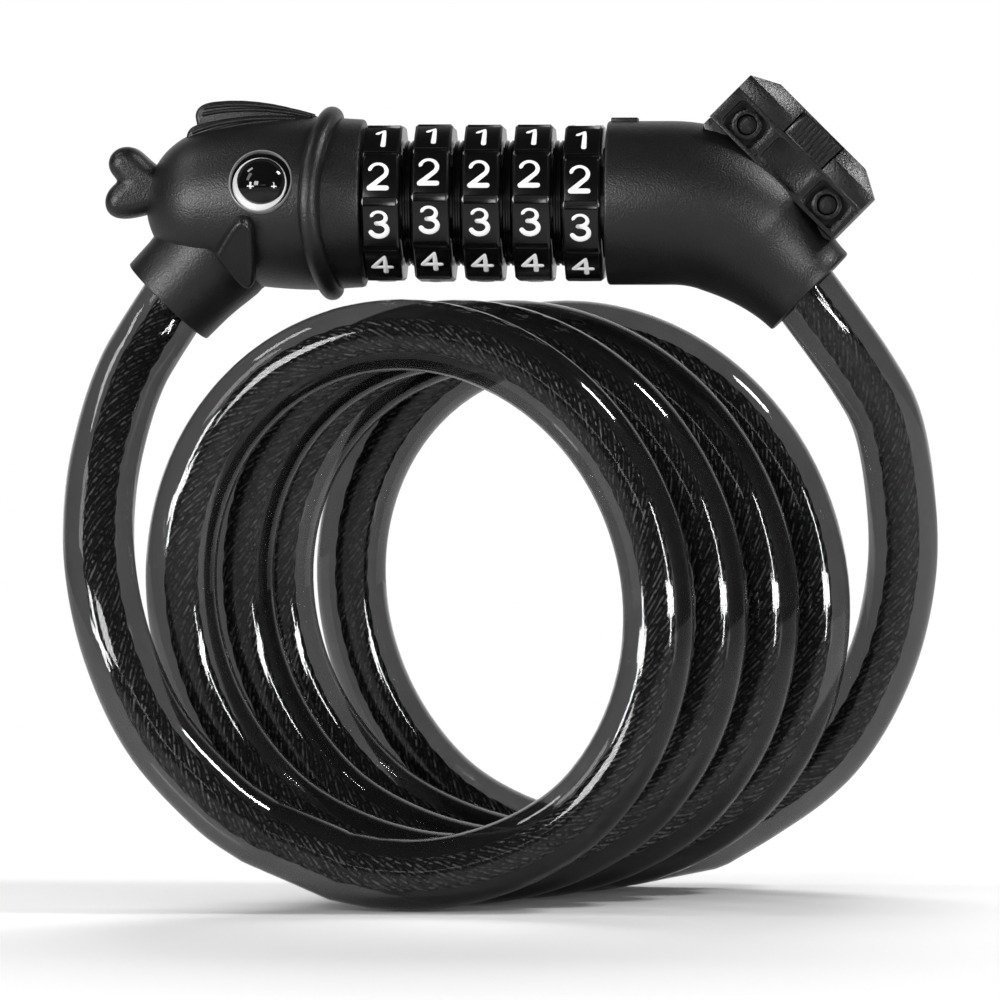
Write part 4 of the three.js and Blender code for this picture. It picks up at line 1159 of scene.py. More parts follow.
    def whole(self) -> tuple[list[Vector], int]:
        """The whole centreline, from just inside one neck to just inside the other.

        Returns:
            The points in metres, and the number of the point where the left free stretch begins.
        """
        first = self.turn_point(-1 / 24)
        left_end, left_heading = self.run(first, -1, 26.0)
        right_end, right_heading = self.run(self.turn_point(self.turns), 1, 12.0)
        samples = 96 * self.turns
        coil = [self.turn_point(self.turns * i / samples) for i in range(samples, -1, -1)]
        right = self.lead(right_end, right_heading, self.right_points)
        left = self.lead(left_end, left_heading, self.left_points)
        held = [*reversed(right), right_end, *coil, self.turn_point(-1 / 48), first, left_end]
        bound = self.even(held)
        free = self.even([left_end, *left])
        return [self.floored(p) for p in [*bound, *free[1:]]], len(bound) - 1


@dataclass
class Cable:
    """The coiled cable: twisted wire strands in a smoky sheath, in a held and a free stretch."""

    route: Route
    strands: int = 7
    strand_radius: float = 0.84
    ring_radius: float = 2.06
    lay: float = 34.0
    core_radius: float = 2.55

    def frames(self, line: Sequence[Vector]) -> list[tuple[Vector, Vector]]:
        """Two directions square to the line at each point, carried along it without twist.

        Args:
            line: the cable's centreline.

        Returns:
            A pair of directions for each point.
        """
        side = AWAY.copy()
        found = []
        for i, _ in enumerate(line):
            tangent = (line[min(i + 1, len(line) - 1)] - line[max(i - 1, 0)]).normalized()
            side = (side - tangent * side.dot(tangent)).normalized()
            found.append((side, tangent.cross(side)))
        return found

    def strand_line(self, line: Sequence[Vector], frames: Sequence, start: float) -> list[Vector]:
        """One strand's own line round the cable's, from a starting angle.

        Args:
            line: the cable's centreline.
            frames: its two directions at each point.
            start: the starting angle in radians.

        Returns:
            The strand's centreline.
        """
        turn_per_step = math.tau * self.route.step / self.lay
        points = []
        for i, (point, (side, up)) in enumerate(zip(line, frames)):
            angle = start + turn_per_step * i
            points.append(point + (side * math.cos(angle) + up * math.sin(angle)) * self.ring_radius * MM)
        return points

    def build(self) -> list[Object]:
        """Models and dresses both stretches of the cable.

        Returns:
            Every piece of it.
        """
        line, seam = self.route.whole()
        frames = self.frames(line)
        spans = {"cable_coiled": slice(0, seam + 1), "cable_free": slice(seam, None)}
        pieces = []
        for name, span in spans.items():
            route = line[span]
            length = sum((b - a).length for a, b in zip(route, route[1:]))
            sheath = SHEATH.dress(Shape.tube(name, route, self.route.radius, 10))
            # the near-black core is painted shade between the strands
            core = CORE_DARK.dress(Shape.tube(f"{name}_core", route, self.core_radius, 2))
            wound = []
            for k in range(self.strands):
                strand = self.strand_line(line, frames, math.tau * k / self.strands)[span]
                wound.append(Shape.tube(f"{name}_strand_{k + 1}", strand, self.strand_radius, 2))
            rope = WireStrand(length / MM, f"{name}_wire").dress(Bench.join(*wound))
            rope.name = f"{name}_strands"
            self.settle(sheath, [core, rope], route)
            pieces += [sheath, core, rope]
            LOG.info("%s: %.0f mm", name, length / MM)
        return pieces

    def settle(
        self, sheath: Object, inside: Sequence[Object], route: Sequence[Vector],
    ) -> None:
        """Args:
            sheath: the stretch's sheath.
            inside: its core and strands.
            route: its centreline.
        """
        free = sheath.name == "cable_free"
        path = list(reversed(route)) if free else list(route)
        for piece in [sheath, *inside]:
            if free:
                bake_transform(piece)
            else:
                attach(piece, "lock_body")
        replaced = ["cable_lead_left"] if free else ["cable_coil", "cable_lead_right"]
        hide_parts(*replaced)
        2 * self.route.radius * MM
        path[::2] + [path[-1]]


# ---- the bent housing and its bracket foot ------------------------------------------


@dataclass
class BentHousing:
    """The moulded sleeve with its elbow, cable neck and index mark."""

    left: float = 18.4
    radius: float = 13.9
    edge: float = 0.5
    seat_radius: float = 9.9
    seat_depth: float = 2.8
    crossing: float = 37.6
    bend_radius: float = 20.0
    angle: float = 45.0
    neck_end: float = 21.4
    neck_radius: float = 9.1
    taper: float = 1.2
    sides: int = 96
    pad: Sequence[Pair] = ((-11.3, 7.2), (-8.0, 6.0), (6.0, 5.0), (17.9, 8.5), (17.9, 9.0), (-11.3, 9.0))
    pad_half: float = 5.2
    foot_seat: Triple = (-11.0, 17.6, 9.1)
    foot_half: float = 8.6
    foot_clear: float = 30.0
    index: Triple = (19.0, 23.6, 3.4)
    index_proud: float = 0.55

    def foot(self) -> Place:
        """The elbow's own frame: u down the neck and n out of the bend.

        Returns:
            The frame, with its corner where the two axes cross.
        """
        down = math.radians(-self.angle)
        along = Vector((math.cos(down), 0.0, math.sin(down)))
        return Place(BARREL.at(self.crossing, 0.0), along, Vector((-along.z, 0.0, along.x)))

    def stations(self) -> list[tuple[float, float, float, float]]:
        """Rings as (x, z, turn in degrees, radius), from the seat's floor round to the neck's mouth.

        Returns:
            The rings, in mm and degrees on the drawing.
        """
        tangent = self.bend_radius * math.tan(math.radians(self.angle / 2))
        start = self.crossing - tangent
        rings = [(self.left + self.seat_depth, 0.0, 0.0, self.seat_radius)]
        rings.append((self.left, 0.0, 0.0, self.seat_radius))
        for i in range(5):
            share = math.radians(90 * i / 4)
            x = self.left + self.edge * (1 - math.cos(share))
            rings.append((x, 0.0, 0.0, self.radius - self.edge * (1 - math.sin(share))))
        bends = 16
        for i in range(bends + 1):
            share = i / bends
            turn = math.radians(self.angle * share)
            x = start + self.bend_radius * math.sin(turn)
            z = -self.bend_radius * (1 - math.cos(turn))
            rings.append((x, z, self.angle * share, self.radius - self.taper * share**2))
        from_radius = self.radius - self.taper
        neck = 10
        cosine = math.cos(math.radians(self.angle))
        for i in range(1, neck + 1):
            share = i / neck
            u = tangent + (self.neck_end - 0.4 - tangent) * share
            narrowed = 1 - (1 - share) ** 1.8
            wide = from_radius + (self.neck_radius - from_radius) * narrowed
            rings.append((self.crossing + u * cosine, -u * cosine, self.angle, wide))
        for back, wide in ((0.12, 0.12), (0.0, 0.4)):
            u = self.neck_end - back
            rings.append((self.crossing + u * cosine, -u * cosine, self.angle, self.neck_radius - wide))
        return rings

    def sleeve(self) -> Object:
        """The sleeve: one round section pushed, scaled and turned along the bent axis.

        Returns:
            The closed sleeve.
        """
        Bench.clear()
        rings = self.stations()
        x, z, _, wide = rings[0]
        bpy.ops.mesh.primitive_circle_add(
            vertices=self.sides, radius=wide * MM, fill_type="NGON", location=BARREL.at(x, z),
            rotation=(0.0, math.pi / 2, 0.0),
        )
        obj = Bench.named("bent_housing")
        Bench.open(obj)
        bpy.ops.mesh.select_all(action="SELECT")
        for before, after in zip(rings, rings[1:]):
            here = BARREL.at(after[0], after[1])
            step = here - BARREL.at(before[0], before[1])
            bpy.ops.mesh.extrude_region_move(TRANSFORM_OT_translate={"value": step})
            scale = after[3] / before[3]
            bpy.ops.transform.resize(value=(scale, scale, scale), center_override=here)
            turn = math.radians(after[2] - before[2])
            if turn:
                bpy.ops.transform.rotate(value=-turn, orient_axis="Y", center_override=here)
        return Bench.smooth(Bench.outward(obj))

    def build(self) -> Object:
        """Models and dresses the housing.

        Returns:
            The housing.
        """
        start, end, low = self.foot_seat
        breadth = (-self.foot_half, self.foot_half)
        seat = Shape.box("foot_seat", self.foot(), (start, end), (low, self.foot_clear), breadth)
        sleeve = Bench.smooth(Bench.outward(Bench.cut(self.sleeve(), [seat])))
        half = self.index[2] / 2
        root = math.sqrt(self.radius**2 - half**2) - 0.3
        rise = (root, self.radius + self.index_proud)
        tab = Shape.box("index_mark", BARREL, self.index[:2], rise, (-half, half))
        Bench.round_edges(tab, 0.22, 3)
        pad = Shape.slab("foot_pad", self.pad, self.foot(), (-self.pad_half, self.pad_half))
        Bench.round_edges(pad, 0.2, 2)
        for piece in (sleeve, tab, pad):
            finish = BRACKET_BLACK if piece is pad else HOUSING_BLACK
            finish.dress(piece)
            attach(piece, "lock_body")
        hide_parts("right_housing")
        LOG.info("bent housing: %d faces", len(sleeve.data.polygons))
        return sleeve


@dataclass
class BracketFoot:
    """The foot on the elbow: three cells on each flank, a bevelled cover and two latch tongues."""

    place: Place
    ends: Pair = (-11.3, 17.9)
    root: float = 9.02
    shoulder: float = 16.0
    seam: float = -0.03
    edge: float = 18.8
    crown: float = 21.3
    half: float = 8.8
    end_bevel: float = 4.6
    side_bevel: float = 2.4
    cell_middles: Triple = (-5.9, 3.68, 13.16)
    cell_lengths: Triple = (7.2, 8.6, 7.2)
    cell_rise: Pair = (9.7, 15.25)
    cell_depth: float = 3.0
    cell_corner: float = 1.1
    boss_radius: float = 2.5
    hole_radius: float = 1.8
    hole_depth: float = 2.6
    tongue: Pair = (-0.7, 8.5)
    tongue_sunk: float = 0.4
    notch_depth: float = 2.6

    def cell_outline(self, middle: float, length: float) -> list[Pair]:
        """A cell's rounded mouth.

        Args:
            middle: the cell's middle along the foot.
            length: its length.

        Returns:
            (along, rise) pairs in mm.
        """
        half = length / 2 - self.cell_corner
        low = self.cell_rise[0] + self.cell_corner
        high = self.cell_rise[1] - self.cell_corner
        r = (self.cell_corner, self.cell_corner)
        left, right = middle - half, middle + half
        corners = ((right, low, -90), (right, high, 0), (left, high, 90), (left, low, 180))
        points = []
        for u, n, start in corners:
            points += arc((u, n), r, start, start + 90, 6)
        return points

    def disc(self, name: str, middle: float, radius: float, depth: Pair) -> Object:
        """A round boss or hole across the foot.

        Args:
            name: the piece's name.
            middle: its middle along the foot.
            radius: its radius in mm.
            depth: where it starts and ends, in mm.

        Returns:
            The closed disc.
        """
        rise = sum(self.cell_rise) / 2
        return Shape.slab(name, arc((middle, rise), (radius, radius), 0, 352.5, 47), self.place, depth)

    def body(self) -> Object:
        """The block with its cells, bosses and holes.

        Returns:
            The block.
        """
        breadth = (-self.half, self.half)
        block = Shape.box("foot_block", self.place, self.ends, (self.root, self.shoulder), breadth)
        tools = []
        for side in Side:
            outside = side.value * (self.half + 1)
            floor = side.value * (self.half - self.cell_depth)
            for middle, length in zip(self.cell_middles, self.cell_lengths):
                mouth = self.cell_outline(middle, length)
                tools.append(Shape.slab("cell", mouth, self.place, (outside, floor)))
        Bench.cut(block, tools)
        bosses = []
        holes = []
        for middle in (self.cell_middles[0], self.cell_middles[2]):
            for side in Side:
                rim = side.value * (self.half - self.cell_depth * 0.45)
                bosses.append(self.disc("boss", middle, self.boss_radius, (side.value, rim)))
                floor = rim - side.value * self.hole_depth
                holes.append(self.disc("hole", middle, self.hole_radius, (floor, rim + side.value)))
        Bench.cut(block, bosses, "UNION")
        Bench.cut(block, holes)
        return Bench.round_edges(block, 0.2, 2)

    def cover(self) -> Object:
        """The bevelled cover with its two notches.

        Returns:
            The cover.
        """
        low = self.shoulder + self.seam
        block = Shape.box("foot_cover", self.place, self.ends, (low, self.edge), (-self.half, self.half))
        Bench.open(block)
        rise = self.place.rise
        Bench.pick_faces(block, lambda centre, normal: normal.dot(rise) > 0.9)
        lift = rise * (self.crown - self.edge) * MM
        bpy.ops.mesh.extrude_region_move(TRANSFORM_OT_translate={"value": lift})
        bpy.ops.mesh.select_mode(type="VERT")
        middle = sum(self.ends) / 2
        length = self.ends[1] - self.ends[0]
        for vertex in bmesh.from_edit_mesh(block.data).verts:
            if vertex.select:
                local = vertex.co - self.place.corner
                u = local.dot(self.place.along) / MM
                y = local.y / MM
                kept = middle + (u - middle) * (1 - 2 * self.end_bevel / length)
                across = AWAY * y * (1 - self.side_bevel / self.half) * MM
                vertex.co = self.place.at(kept, self.crown, 0.0) + across
        bmesh.update_edit_mesh(block.data)
        Bench.outward(block)
        notches = []
        heights = (self.shoulder - 1, self.crown + 1)
        for side in Side:
            reach = (side.value * (self.half - self.notch_depth), side.value * (self.half + 1))
            notches.append(Shape.box("notch", self.place, self.tongue, heights, reach))
        Bench.cut(block, notches)
        return Bench.round_edges(block, 0.18, 2, 20.0)

    def pin(self, name: str, middle: float) -> Object:
        """A pin that runs across the foot in its bosses.

        Args:
            name: the piece's name.
            middle: its middle along the foot.

        Returns:
            The pin.
        """
        reach = self.half - self.cell_depth * 0.45 - 1.3
        return Bench.round_edges(self.disc(name, middle, self.hole_radius - 0.1, (-reach, reach)), 0.25, 3)

    def latch(self, side: Side) -> Object:
        """A tongue in its notch, with fine ribs across its face.

        Args:
            side: the flank it is on.

        Returns:
            The tongue.
        """
        gap = 0.25
        outer = side.value * (self.half - 0.1)
        inner = side.value * (self.half - self.notch_depth + 0.2)
        along = (self.tongue[0] + gap, self.tongue[1] - gap)
        rise = (self.shoulder + 0.05, self.crown - self.tongue_sunk)
        block = Shape.box(f"latch_{side.name.lower()}", self.place, along, rise, (inner, outer))
        ribs = []
        pitch = 0.9
        count = int((along[1] - along[0]) / pitch) - 1
        start = (along[0] + along[1] - (count - 1) * pitch) / 2
        heights = (rise[0] + 0.4, rise[1] - 0.4)
        cut = (outer - side.value * 0.18, outer + side.value)
        for i in range(count):
            u = start + i * pitch
            ribs.append(Shape.box("rib", self.place, (u - 0.16, u + 0.16), heights, cut))
        Bench.cut(block, ribs)
        return Bench.round_edges(block, 0.08, 1)

    def build(self) -> list[Object]:
        """Models and dresses the foot.

        Returns:
            Its pieces.
        """
        body = self.body()
        cover = self.cover()
        front = self.latch(Side.FRONT)
        back = self.latch(Side.BACK)
        replaced = {
            body: "bracket_foot",
            cover: "bracket_plate",
            front: "latch_tongue_front",
            back: "latch_tongue_back",
            self.pin("bracket_pin_upper", self.cell_middles[0]): "foot_pin_upper",
            self.pin("bracket_pin_lower", self.cell_middles[2]): "foot_pin_lower",
        }
        for piece, node in replaced.items():
            BRACKET_BLACK.dress(piece)
            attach(piece, "lock_body")
            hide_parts(node)
            LOG.info("%s stands for %s", piece.name, node)
        return list(replaced)


# ---- the dials ----------------------------------------------------------------------


class Digits:
    """The ten digits as the middle lines of round strokes, centred on their own middle."""

    half_width: float = 1.44
    half_height: float = 2.15

    def strokes(self, digit: int) -> list[list[Pair]]:
        """A digit's strokes as (right, up) points in mm, straight ones apart from curved ones.

        Args:
            digit: 0 to 9.

        Returns:
            The strokes.
        """
        w, h = self.half_width, self.half_height
        shapes = {
            0: [
                arc((0, h - w), (w, w), 0, 180, 12) + arc((0, w - h), (w, w), 180, 360, 12)
                + [(w, h - w)],
            ],
            1: [[(-0.95, h - 0.8), (0.25, h)], [(0.25, h), (0.25, -h)]],
            2: [arc((0, 0.85), (w, h - 0.85), 166, -38, 14) + [(-w, -h)], [(-w, -h), (w, -h)]],
            3: [
                arc((-0.05, 1.13), (1.24, h - 1.13), 160, -90, 14) + [(-0.45, 0.11)],
                [(-0.45, 0.11)] + arc((-0.05, -1.02), (w, h - 1.02), 90, -157, 14),
            ],
            4: [
                [(0.55, h), (-w - 0.1, -0.85)], [(-w - 0.1, -0.85), (w + 0.1, -0.85)],
                [(0.55, h), (0.55, -h)],
            ],
            5: [
                [(1.15, h), (-1.0, h)], [(-1.0, h), (-1.15, 0.3)],
                arc((-0.05, -0.72), (w, h - 0.72), 135, -155, 14),
            ],
            6: [
                bend((0.85, h), (-0.5, 1.7), (-w, 0.4), (-w, w - h), 12),
                arc((0, w - h), (w, w), 0, 360, 20),
            ],
            7: [[(-w, h), (w, h)], [(w, h), (-0.4, -h)]],
            8: [arc((0, h - 1.04), (1.18, 1.04), 0, 360, 18), arc((0, 1.1 - h), (w, 1.1), 0, 360, 20)],
            9: [
                bend((-0.85, -h), (0.5, -1.7), (w, -0.4), (w, h - w), 12),
                arc((0, h - w), (w, w), 0, 360, 20),
            ],
        }
        return shapes[digit]


@dataclass
class Dials:
    """Five ten-sided dials with raised digits, and the keyed rings between them."""

    middles: Sequence[float] = (-19.4, -10.9, -2.4, 6.1, 14.6)
    rest_turns: Sequence[float] = (1.9, 5.4, 3.7, 3.7, -0.6)
    facets: int = 10
    width: float = 6.35
    apothem: float = 13.15
    chamfer: float = 0.42
    bore: float = 9.3
    groove: float = 0.8
    groove_depth: float = 0.55
    stroke: float = 0.71
    sunk: float = 0.58
    facet_drop: float = 2.0
    digit_drop: float = 0.4
    nudges: dict[int, float] = field(default_factory=lambda: {2: -0.3, 3: -0.12})
    spacer_radius: float = 10.65
    spacer_half: float = 0.76
    spacer_bore: float = 6.6
    digits: Digits = field(default_factory=Digits)

    def corner(self, apothem: float) -> float:
        """A facet's distance from the axis, at its corners."""
        return apothem / math.cos(math.pi / self.facets)

    def blank(self) -> Object:
        """A dial with its chamfers, bore and grooves, at the drawing's origin.

        Returns:
            The blank.
        """
        Bench.clear()
        depth = (self.width - 2 * self.chamfer) * MM
        bpy.ops.mesh.primitive_cylinder_add(
            vertices=self.facets, radius=self.corner(self.apothem) * MM, depth=depth, end_fill_type="NGON",
            location=BARREL.at(0.0, 0.0), rotation=(0.0, math.pi / 2, 0.0),
        )
        obj = Bench.named("dial_blank")
        local = obj.data.vertices[0].co - BARREL.corner
        Bench.turn(obj, math.degrees(math.atan2(local.y, local.z)) + 180 / self.facets, BARREL)
        Bench.open(obj)
        for sign in (-1, 1):
            Bench.pick_faces(obj, lambda centre, normal: normal.x * sign > 0.9)
            shift = Vector((sign * self.chamfer * MM, 0.0, 0.0))
            bpy.ops.mesh.extrude_region_move(TRANSFORM_OT_translate={"value": shift})
            kept = 1 - self.chamfer / self.apothem
            bpy.ops.transform.resize(value=(1.0, kept, kept), center_override=BARREL.corner)
        Bench.pick_faces(obj, lambda centre, normal: abs(normal.x) > 0.9)
        bpy.ops.mesh.inset(thickness=(self.apothem - self.chamfer - self.bore) * MM, use_individual=True)
        bpy.ops.mesh.delete(type="FACE")
        reach = self.corner(self.bore) * MM * 1.01
        axis = BARREL.corner

        def on_bore(a: Vector, b: Vector) -> bool:
            """Whether an edge lies on the bore."""
            return all(Vector((0.0, p.y - axis.y, p.z - axis.z)).length < reach for p in (a, b))

        Bench.pick_edges(obj, on_bore)
        bpy.ops.mesh.bridge_edge_loops()
        outer = self.corner(self.apothem) * MM * 0.999

        def on_corner(a: Vector, b: Vector) -> bool:
            """Whether an edge runs along a corner between two facets."""
            far = all(Vector((0.0, p.y - axis.y, p.z - axis.z)).length > outer for p in (a, b))
            return far and abs(a.x - b.x) > self.width * 0.5 * MM

        Bench.pick_edges(obj, on_corner)
        bpy.ops.mesh.bevel(offset=self.groove * MM, segments=1, affect="EDGES")
        narrow = 2.2 * self.groove * MM * (self.width * MM)
        bpy.ops.mesh.select_mode(type="FACE")
        bpy.ops.mesh.select_all(action="DESELECT")
        mesh = bmesh.from_edit_mesh(obj.data)
        for face in mesh.faces:
            centre = face.calc_center_median() - axis
            radial = Vector((0.0, centre.y, centre.z)).length
            outside = abs(face.normal.x) < 0.1 and radial > self.apothem * MM * 1.01
            face.select_set(outside and face.calc_area() < narrow)
        bmesh.update_edit_mesh(obj.data)
        bpy.ops.mesh.inset(thickness=0.14 * MM, depth=-self.groove_depth * MM, use_individual=True)
        Bench.outward(obj)
        return Bench.round_edges(obj, 0.09, 2, 18.0)

    def digit(self, value: int) -> Object:
        """A raised digit on the dial's uppermost facet, turned to its place.

        Args:
            value: 0 to 9.

        Returns:
            The digit.
        """
        strokes = []
        height = self.apothem - self.sunk
        nudge = self.nudges.get(value, 0.0)
        for stroke in self.digits.strokes(value):
            points = [BARREL.corner + Vector((a + nudge, b, height)) * MM for a, b in stroke]
            strokes.append(Shape.tube("stroke", points, self.stroke, 4, rounded=True))
        made = Bench.join(*strokes)
        made.name = f"digit_{value}"
        return Bench.turn(made, 360 / self.facets * value, BARREL)

    def spacer(self, index: int) -> Object:
        """A ring between two dials, with a shallow groove round it.

        Args:
            index: its place in the row, from 0.

        Returns:
            The ring.
        """
        middle = (self.middles[index] + self.middles[index + 1]) / 2
        r, w = self.spacer_radius, self.spacer_half
        half = [(0.15, r - 0.3), (0.3, r), (w - 0.2, r), (w, r - 0.25), (w, self.spacer_bore)]
        profile = [(middle - a, b) for a, b in reversed(half)] + [(middle + a, b) for a, b in half]
        profile.append(profile[0])
        return Shape.revolve(f"dial_spacer_{index + 1}", profile, BARREL)

    def build(self) -> list[Object]:
        """Models one dial and its digits, copies them along the core, and adds the rings.

        Returns:
            Every piece.
        """
        blank = self.blank()
        marks = Bench.join(*[self.digit(value) for value in range(self.facets)])
        Bench.smooth(marks, 60.0)
        pieces = []
        kinds = (
            (blank, "number_dial", self.facet_drop, DIAL_BLACK, "dial_black"),
            (marks, "dial_digits", self.digit_drop, DIGIT_WHITE, "eye_ring"),
        )
        for k, (middle, rest) in enumerate(zip(self.middles, self.rest_turns), start=1):
            for source, name, drop, finish, slot in kinds:
                part = Bench.turn(Bench.copy(source, f"{name}_{k}"), drop - rest, BARREL)
                part.location = (middle * MM, 0.0, 0.0)
                bpy.ops.object.transform_apply(location=True, rotation=True, scale=True)
                finish.dress(part)
                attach(part, f"wheel_{k}")
                if source is blank:
                    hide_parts(f"dial_{k}")
                pieces.append(part)
        for source in (blank, marks):
            bpy.data.objects.remove(source, do_unlink=True)
        for index in range(len(self.middles) - 1):
            ring = DIAL_BLACK.dress(self.spacer(index))
            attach(ring, "lock_body")
            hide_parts(f"spacer_{index + 1}")
            pieces.append(ring)
        LOG.info("dials: %d pieces", len(pieces))
        return pieces


# ---- the plug head ------------------------------------------------------------------


@dataclass
class FishHead:
    """The plug's moulded head: a round-faced fish with lips, gill rib, fins, eyes and a cable neck."""

    rear: float = -22.9
    rear_radius: float = 14.25
    rear_chamfer: float = 0.5
    widest: float = -31.0
    widest_radius: float = 14.75
    face: float = -47.6
    face_radius: float = 12.85
    face_turn: float = 78.0
    seat: Pair = (-25.9, 9.5)
    bolt_seat: Pair = (-33.9, 8.2)
    neck_corner: Pair = (-56.7, -16.6)
    neck_angle: float = 46.0
    neck_proud: float = 0.2
    neck_radius: float = 9.15
    gill: float = -28.6
    gill_bow: float = 2.7
    gill_radius: float = 14.65
    gill_tube: float = 1.85
    eye: float = -39.45
    eye_lift: float = 14.2
    eye_seat: float = 12.3
    eye_ring: Pair = (5.18, 5.47)
    eye_white: float = 4.66
    eye_yaw: float = 5.5
    eye_ring_top: float = 14.5
    eye_dome: float = 4.25
    eye_dome_edge: float = 13.9
    eye_dome_lift: float = 23.0
    eye_ball: float = 5.2
    fin: float = -42.6
    fin_lift: float = -30.0
    fin_seat: float = 14.6

    def neck(self) -> Place:
        """The neck's own frame: along it from its mouth inwards.

        Returns:
            The frame.
        """
        angle = math.radians(self.neck_angle)
        inward = Vector((math.cos(angle), 0.0, math.sin(angle)))
        corner = BARREL.at(*self.neck_corner)
        return Place(corner, inward, Vector((-inward.z, 0.0, inward.x)))

    def cheek(self, side: Side, x: float, lift: float, yaw: float = 0.0) -> Place:
        """A frame on a cheek.

        Args:
            side: the flank.
            x: where it crosses the cheek, along the barrel.
            lift: how far it is turned up about the barrel's axis, in degrees.
            yaw: how far it leans towards the face, in degrees.

        Returns:
            The frame: its along runs outwards from near the barrel's axis, its rise upwards.
        """
        angle = math.radians(lift)
        lean = math.radians(yaw)
        level = Vector((0.0, side.value * math.cos(angle), math.sin(angle)))
        out = level * math.cos(lean) - RIGHT * math.sin(lean)
        up = Vector((0.0, -side.value * math.sin(angle), math.cos(angle)))
        return Place(BARREL.at(x + self.eye_dome_edge * math.tan(lean), 0.0), out, up)

    def skull(self) -> Object:
        """The head's round body, hollow at the rear where the core enters.

        Returns:
            The closed skull, without the holes for the eyes.
        """
        ball = self.face_radius
        profile = [(self.face - ball, 0.0)]
        profile += [(self.face - a, r) for a, r in arc((0, 0), (ball, ball), 0, self.face_turn, 22)[1:]]
        first, low = profile[-1]
        slope = math.tan(math.radians(90 - self.face_turn))
        span = self.widest - first
        flatten = (low + slope * span - self.widest_radius) / span**2
        for i in range(1, 17):
            run = span * i / 16
            profile.append((first + run, low + slope * run - flatten * run**2))
        r, c = self.rear_radius, self.rear_chamfer
        profile += [(self.rear - c, r + 0.03), (self.rear - c * 0.3, r - c * 0.25), (self.rear, r - c)]
        profile += [(self.rear, self.seat[1]), self.seat, (self.seat[0], self.bolt_seat[1])]
        profile += [self.bolt_seat, (self.bolt_seat[0], 0.0)]
        return Shape.revolve("fish_head", profile, BARREL, 128)

    def neck_piece(self) -> Object:
        """The cable's neck, with its end face and the cable's hole.

        Returns:
            The neck.
        """
        r = self.neck_radius
        p = -self.neck_proud
        profile = [
            (p, 0.0), (p, r - 0.3), (p + 0.09, r - 0.09), (p + 0.3, r), (5.0, r + 0.15), (7.5, r + 0.4),
            (9.5, r + 0.7), (11.5, r + 0.95), (12.6, r + 0.9), (14.5, r - 0.2), (16.5, r - 2.0), (16.5, 0.0),
        ]
        return Shape.revolve("fish_neck", profile, self.neck(), 96)

    def gill_piece(self) -> Object:
        """The rib round the gills, bowed forward on both cheeks.

        Returns:
            The rib.
        """
        Bench.clear()
        bpy.ops.mesh.primitive_torus_add(
            major_segments=128, minor_segments=20, major_radius=self.gill_radius * MM,
            minor_radius=self.gill_tube * MM, location=BARREL.at(self.gill, 0.0),
            rotation=(0.0, math.pi / 2, 0.0),
        )
        obj = Bench.named("gill_rib")
        for vertex in obj.data.vertices:
            local = vertex.co - BARREL.corner
            around = math.atan2(local.y, local.z)
            vertex.co.x -= self.gill_bow * MM * math.sin(around) ** 2
        return Bench.smooth(obj)

    def lips_piece(self) -> Object:
        """The pouting lips: a soft heart that lies on its side.

        Returns:
            The lips.
        """
        outline = [(-55.0, 5.4), (-58.3, 6.3)]
        for knots in (
            ((-58.3, 6.3), (-60.6, 7.6), (-61.4, 9.7), (-63.6, 9.7)),
            ((-63.6, 9.7), (-66, 9.7), (-67.2, 7.6), (-66.7, 6)),
            ((-66.7, 6), (-66.4, 5), (-65.7, 4.5), (-65.2, 3.75)),
            ((-65.2, 3.75), (-66.2, 3), (-67.4, 1.9), (-67.4, 0.2)),
            ((-67.4, 0.2), (-67.4, -1.7), (-66, -2.6), (-64.5, -2.6)),
            ((-64.5, -2.6), (-62.6, -2.6), (-61, -2), (-58.6, -1.5)),
        ):
            outline += bend(*knots)
        outline.append((-55.0, -1.2))
        return Shape.pillow("fish_lips", outline, BARREL, 1.6, Shape.crown(2.4, 3.1), 0.26, 14)

    def dorsal_pieces(self) -> list[Object]:
        """The dorsal fin: a crest over a fold, each with long raised ribs.

        Returns:
            The crest, the fold, and the ribs of each.
        """
        flank = Place(BARREL.corner, RIGHT, UP)
        crest = [
            (-29.4, 14.0),
            *bend((-29.4, 14), (-35, 16.7), (-42.5, 18.0), (-48.3, 17.35)),
            *bend((-48.3, 17.35), (-50.9, 17.1), (-52.0, 16.2), (-51.9, 14.6)),
            (-51.4, 12), (-46, 9.8), (-33, 12),
        ]
        fold = [
            (-31.0, 14.4),
            *bend((-31, 14.4), (-38, 15.5), (-46, 14.9), (-51.6, 13.3)),
            *bend((-51.6, 13.3), (-52.8, 12.9), (-53.4, 12), (-53.3, 10.8)),
            (-52.6, 8.4), (-46, 9), (-35, 11.6),
        ]
        pieces = []
        for name, outline, half in (("dorsal_crest", crest, 2.1), ("dorsal_fold", fold, 3.3)):
            layer = Shape.slab(name, outline, flank, (-half, half))
            pieces.append(Bench.round_edges(layer, 0.75, 4))
        crest_ribs = (
            [(-50.4, 16.2)] + bend((-50.4, 16.2), (-45, 17.3), (-38, 16.8), (-31.8, 14.9)),
            [(-50.7, 15.1)] + bend((-50.7, 15.1), (-45, 16.4), (-38, 16.1), (-32.2, 14.7)),
        )
        fold_ribs = (
            [(-52.3, 12.0)] + bend((-52.3, 12.0), (-47, 14.3), (-40, 14.6), (-34.6, 14.3)),
            [(-52.5, 10.9)] + bend((-52.5, 10.9), (-47, 13.4), (-40, 14.0), (-34.8, 14.0)),
        )
        for name, ribs, half in (("crest_ribs", crest_ribs, 2.05), ("fold_ribs", fold_ribs, 3.25)):
            strokes = []
            for rib in ribs:
                for side in Side:
                    points = [flank.at(a, r, side.value * half) for a, r in rib]
                    strokes.append(Shape.tube("rib", points, 0.36, 3))
            rows = Bench.join(*strokes)
            rows.name = name
            pieces.append(Bench.smooth(rows, 70.0))
        return pieces

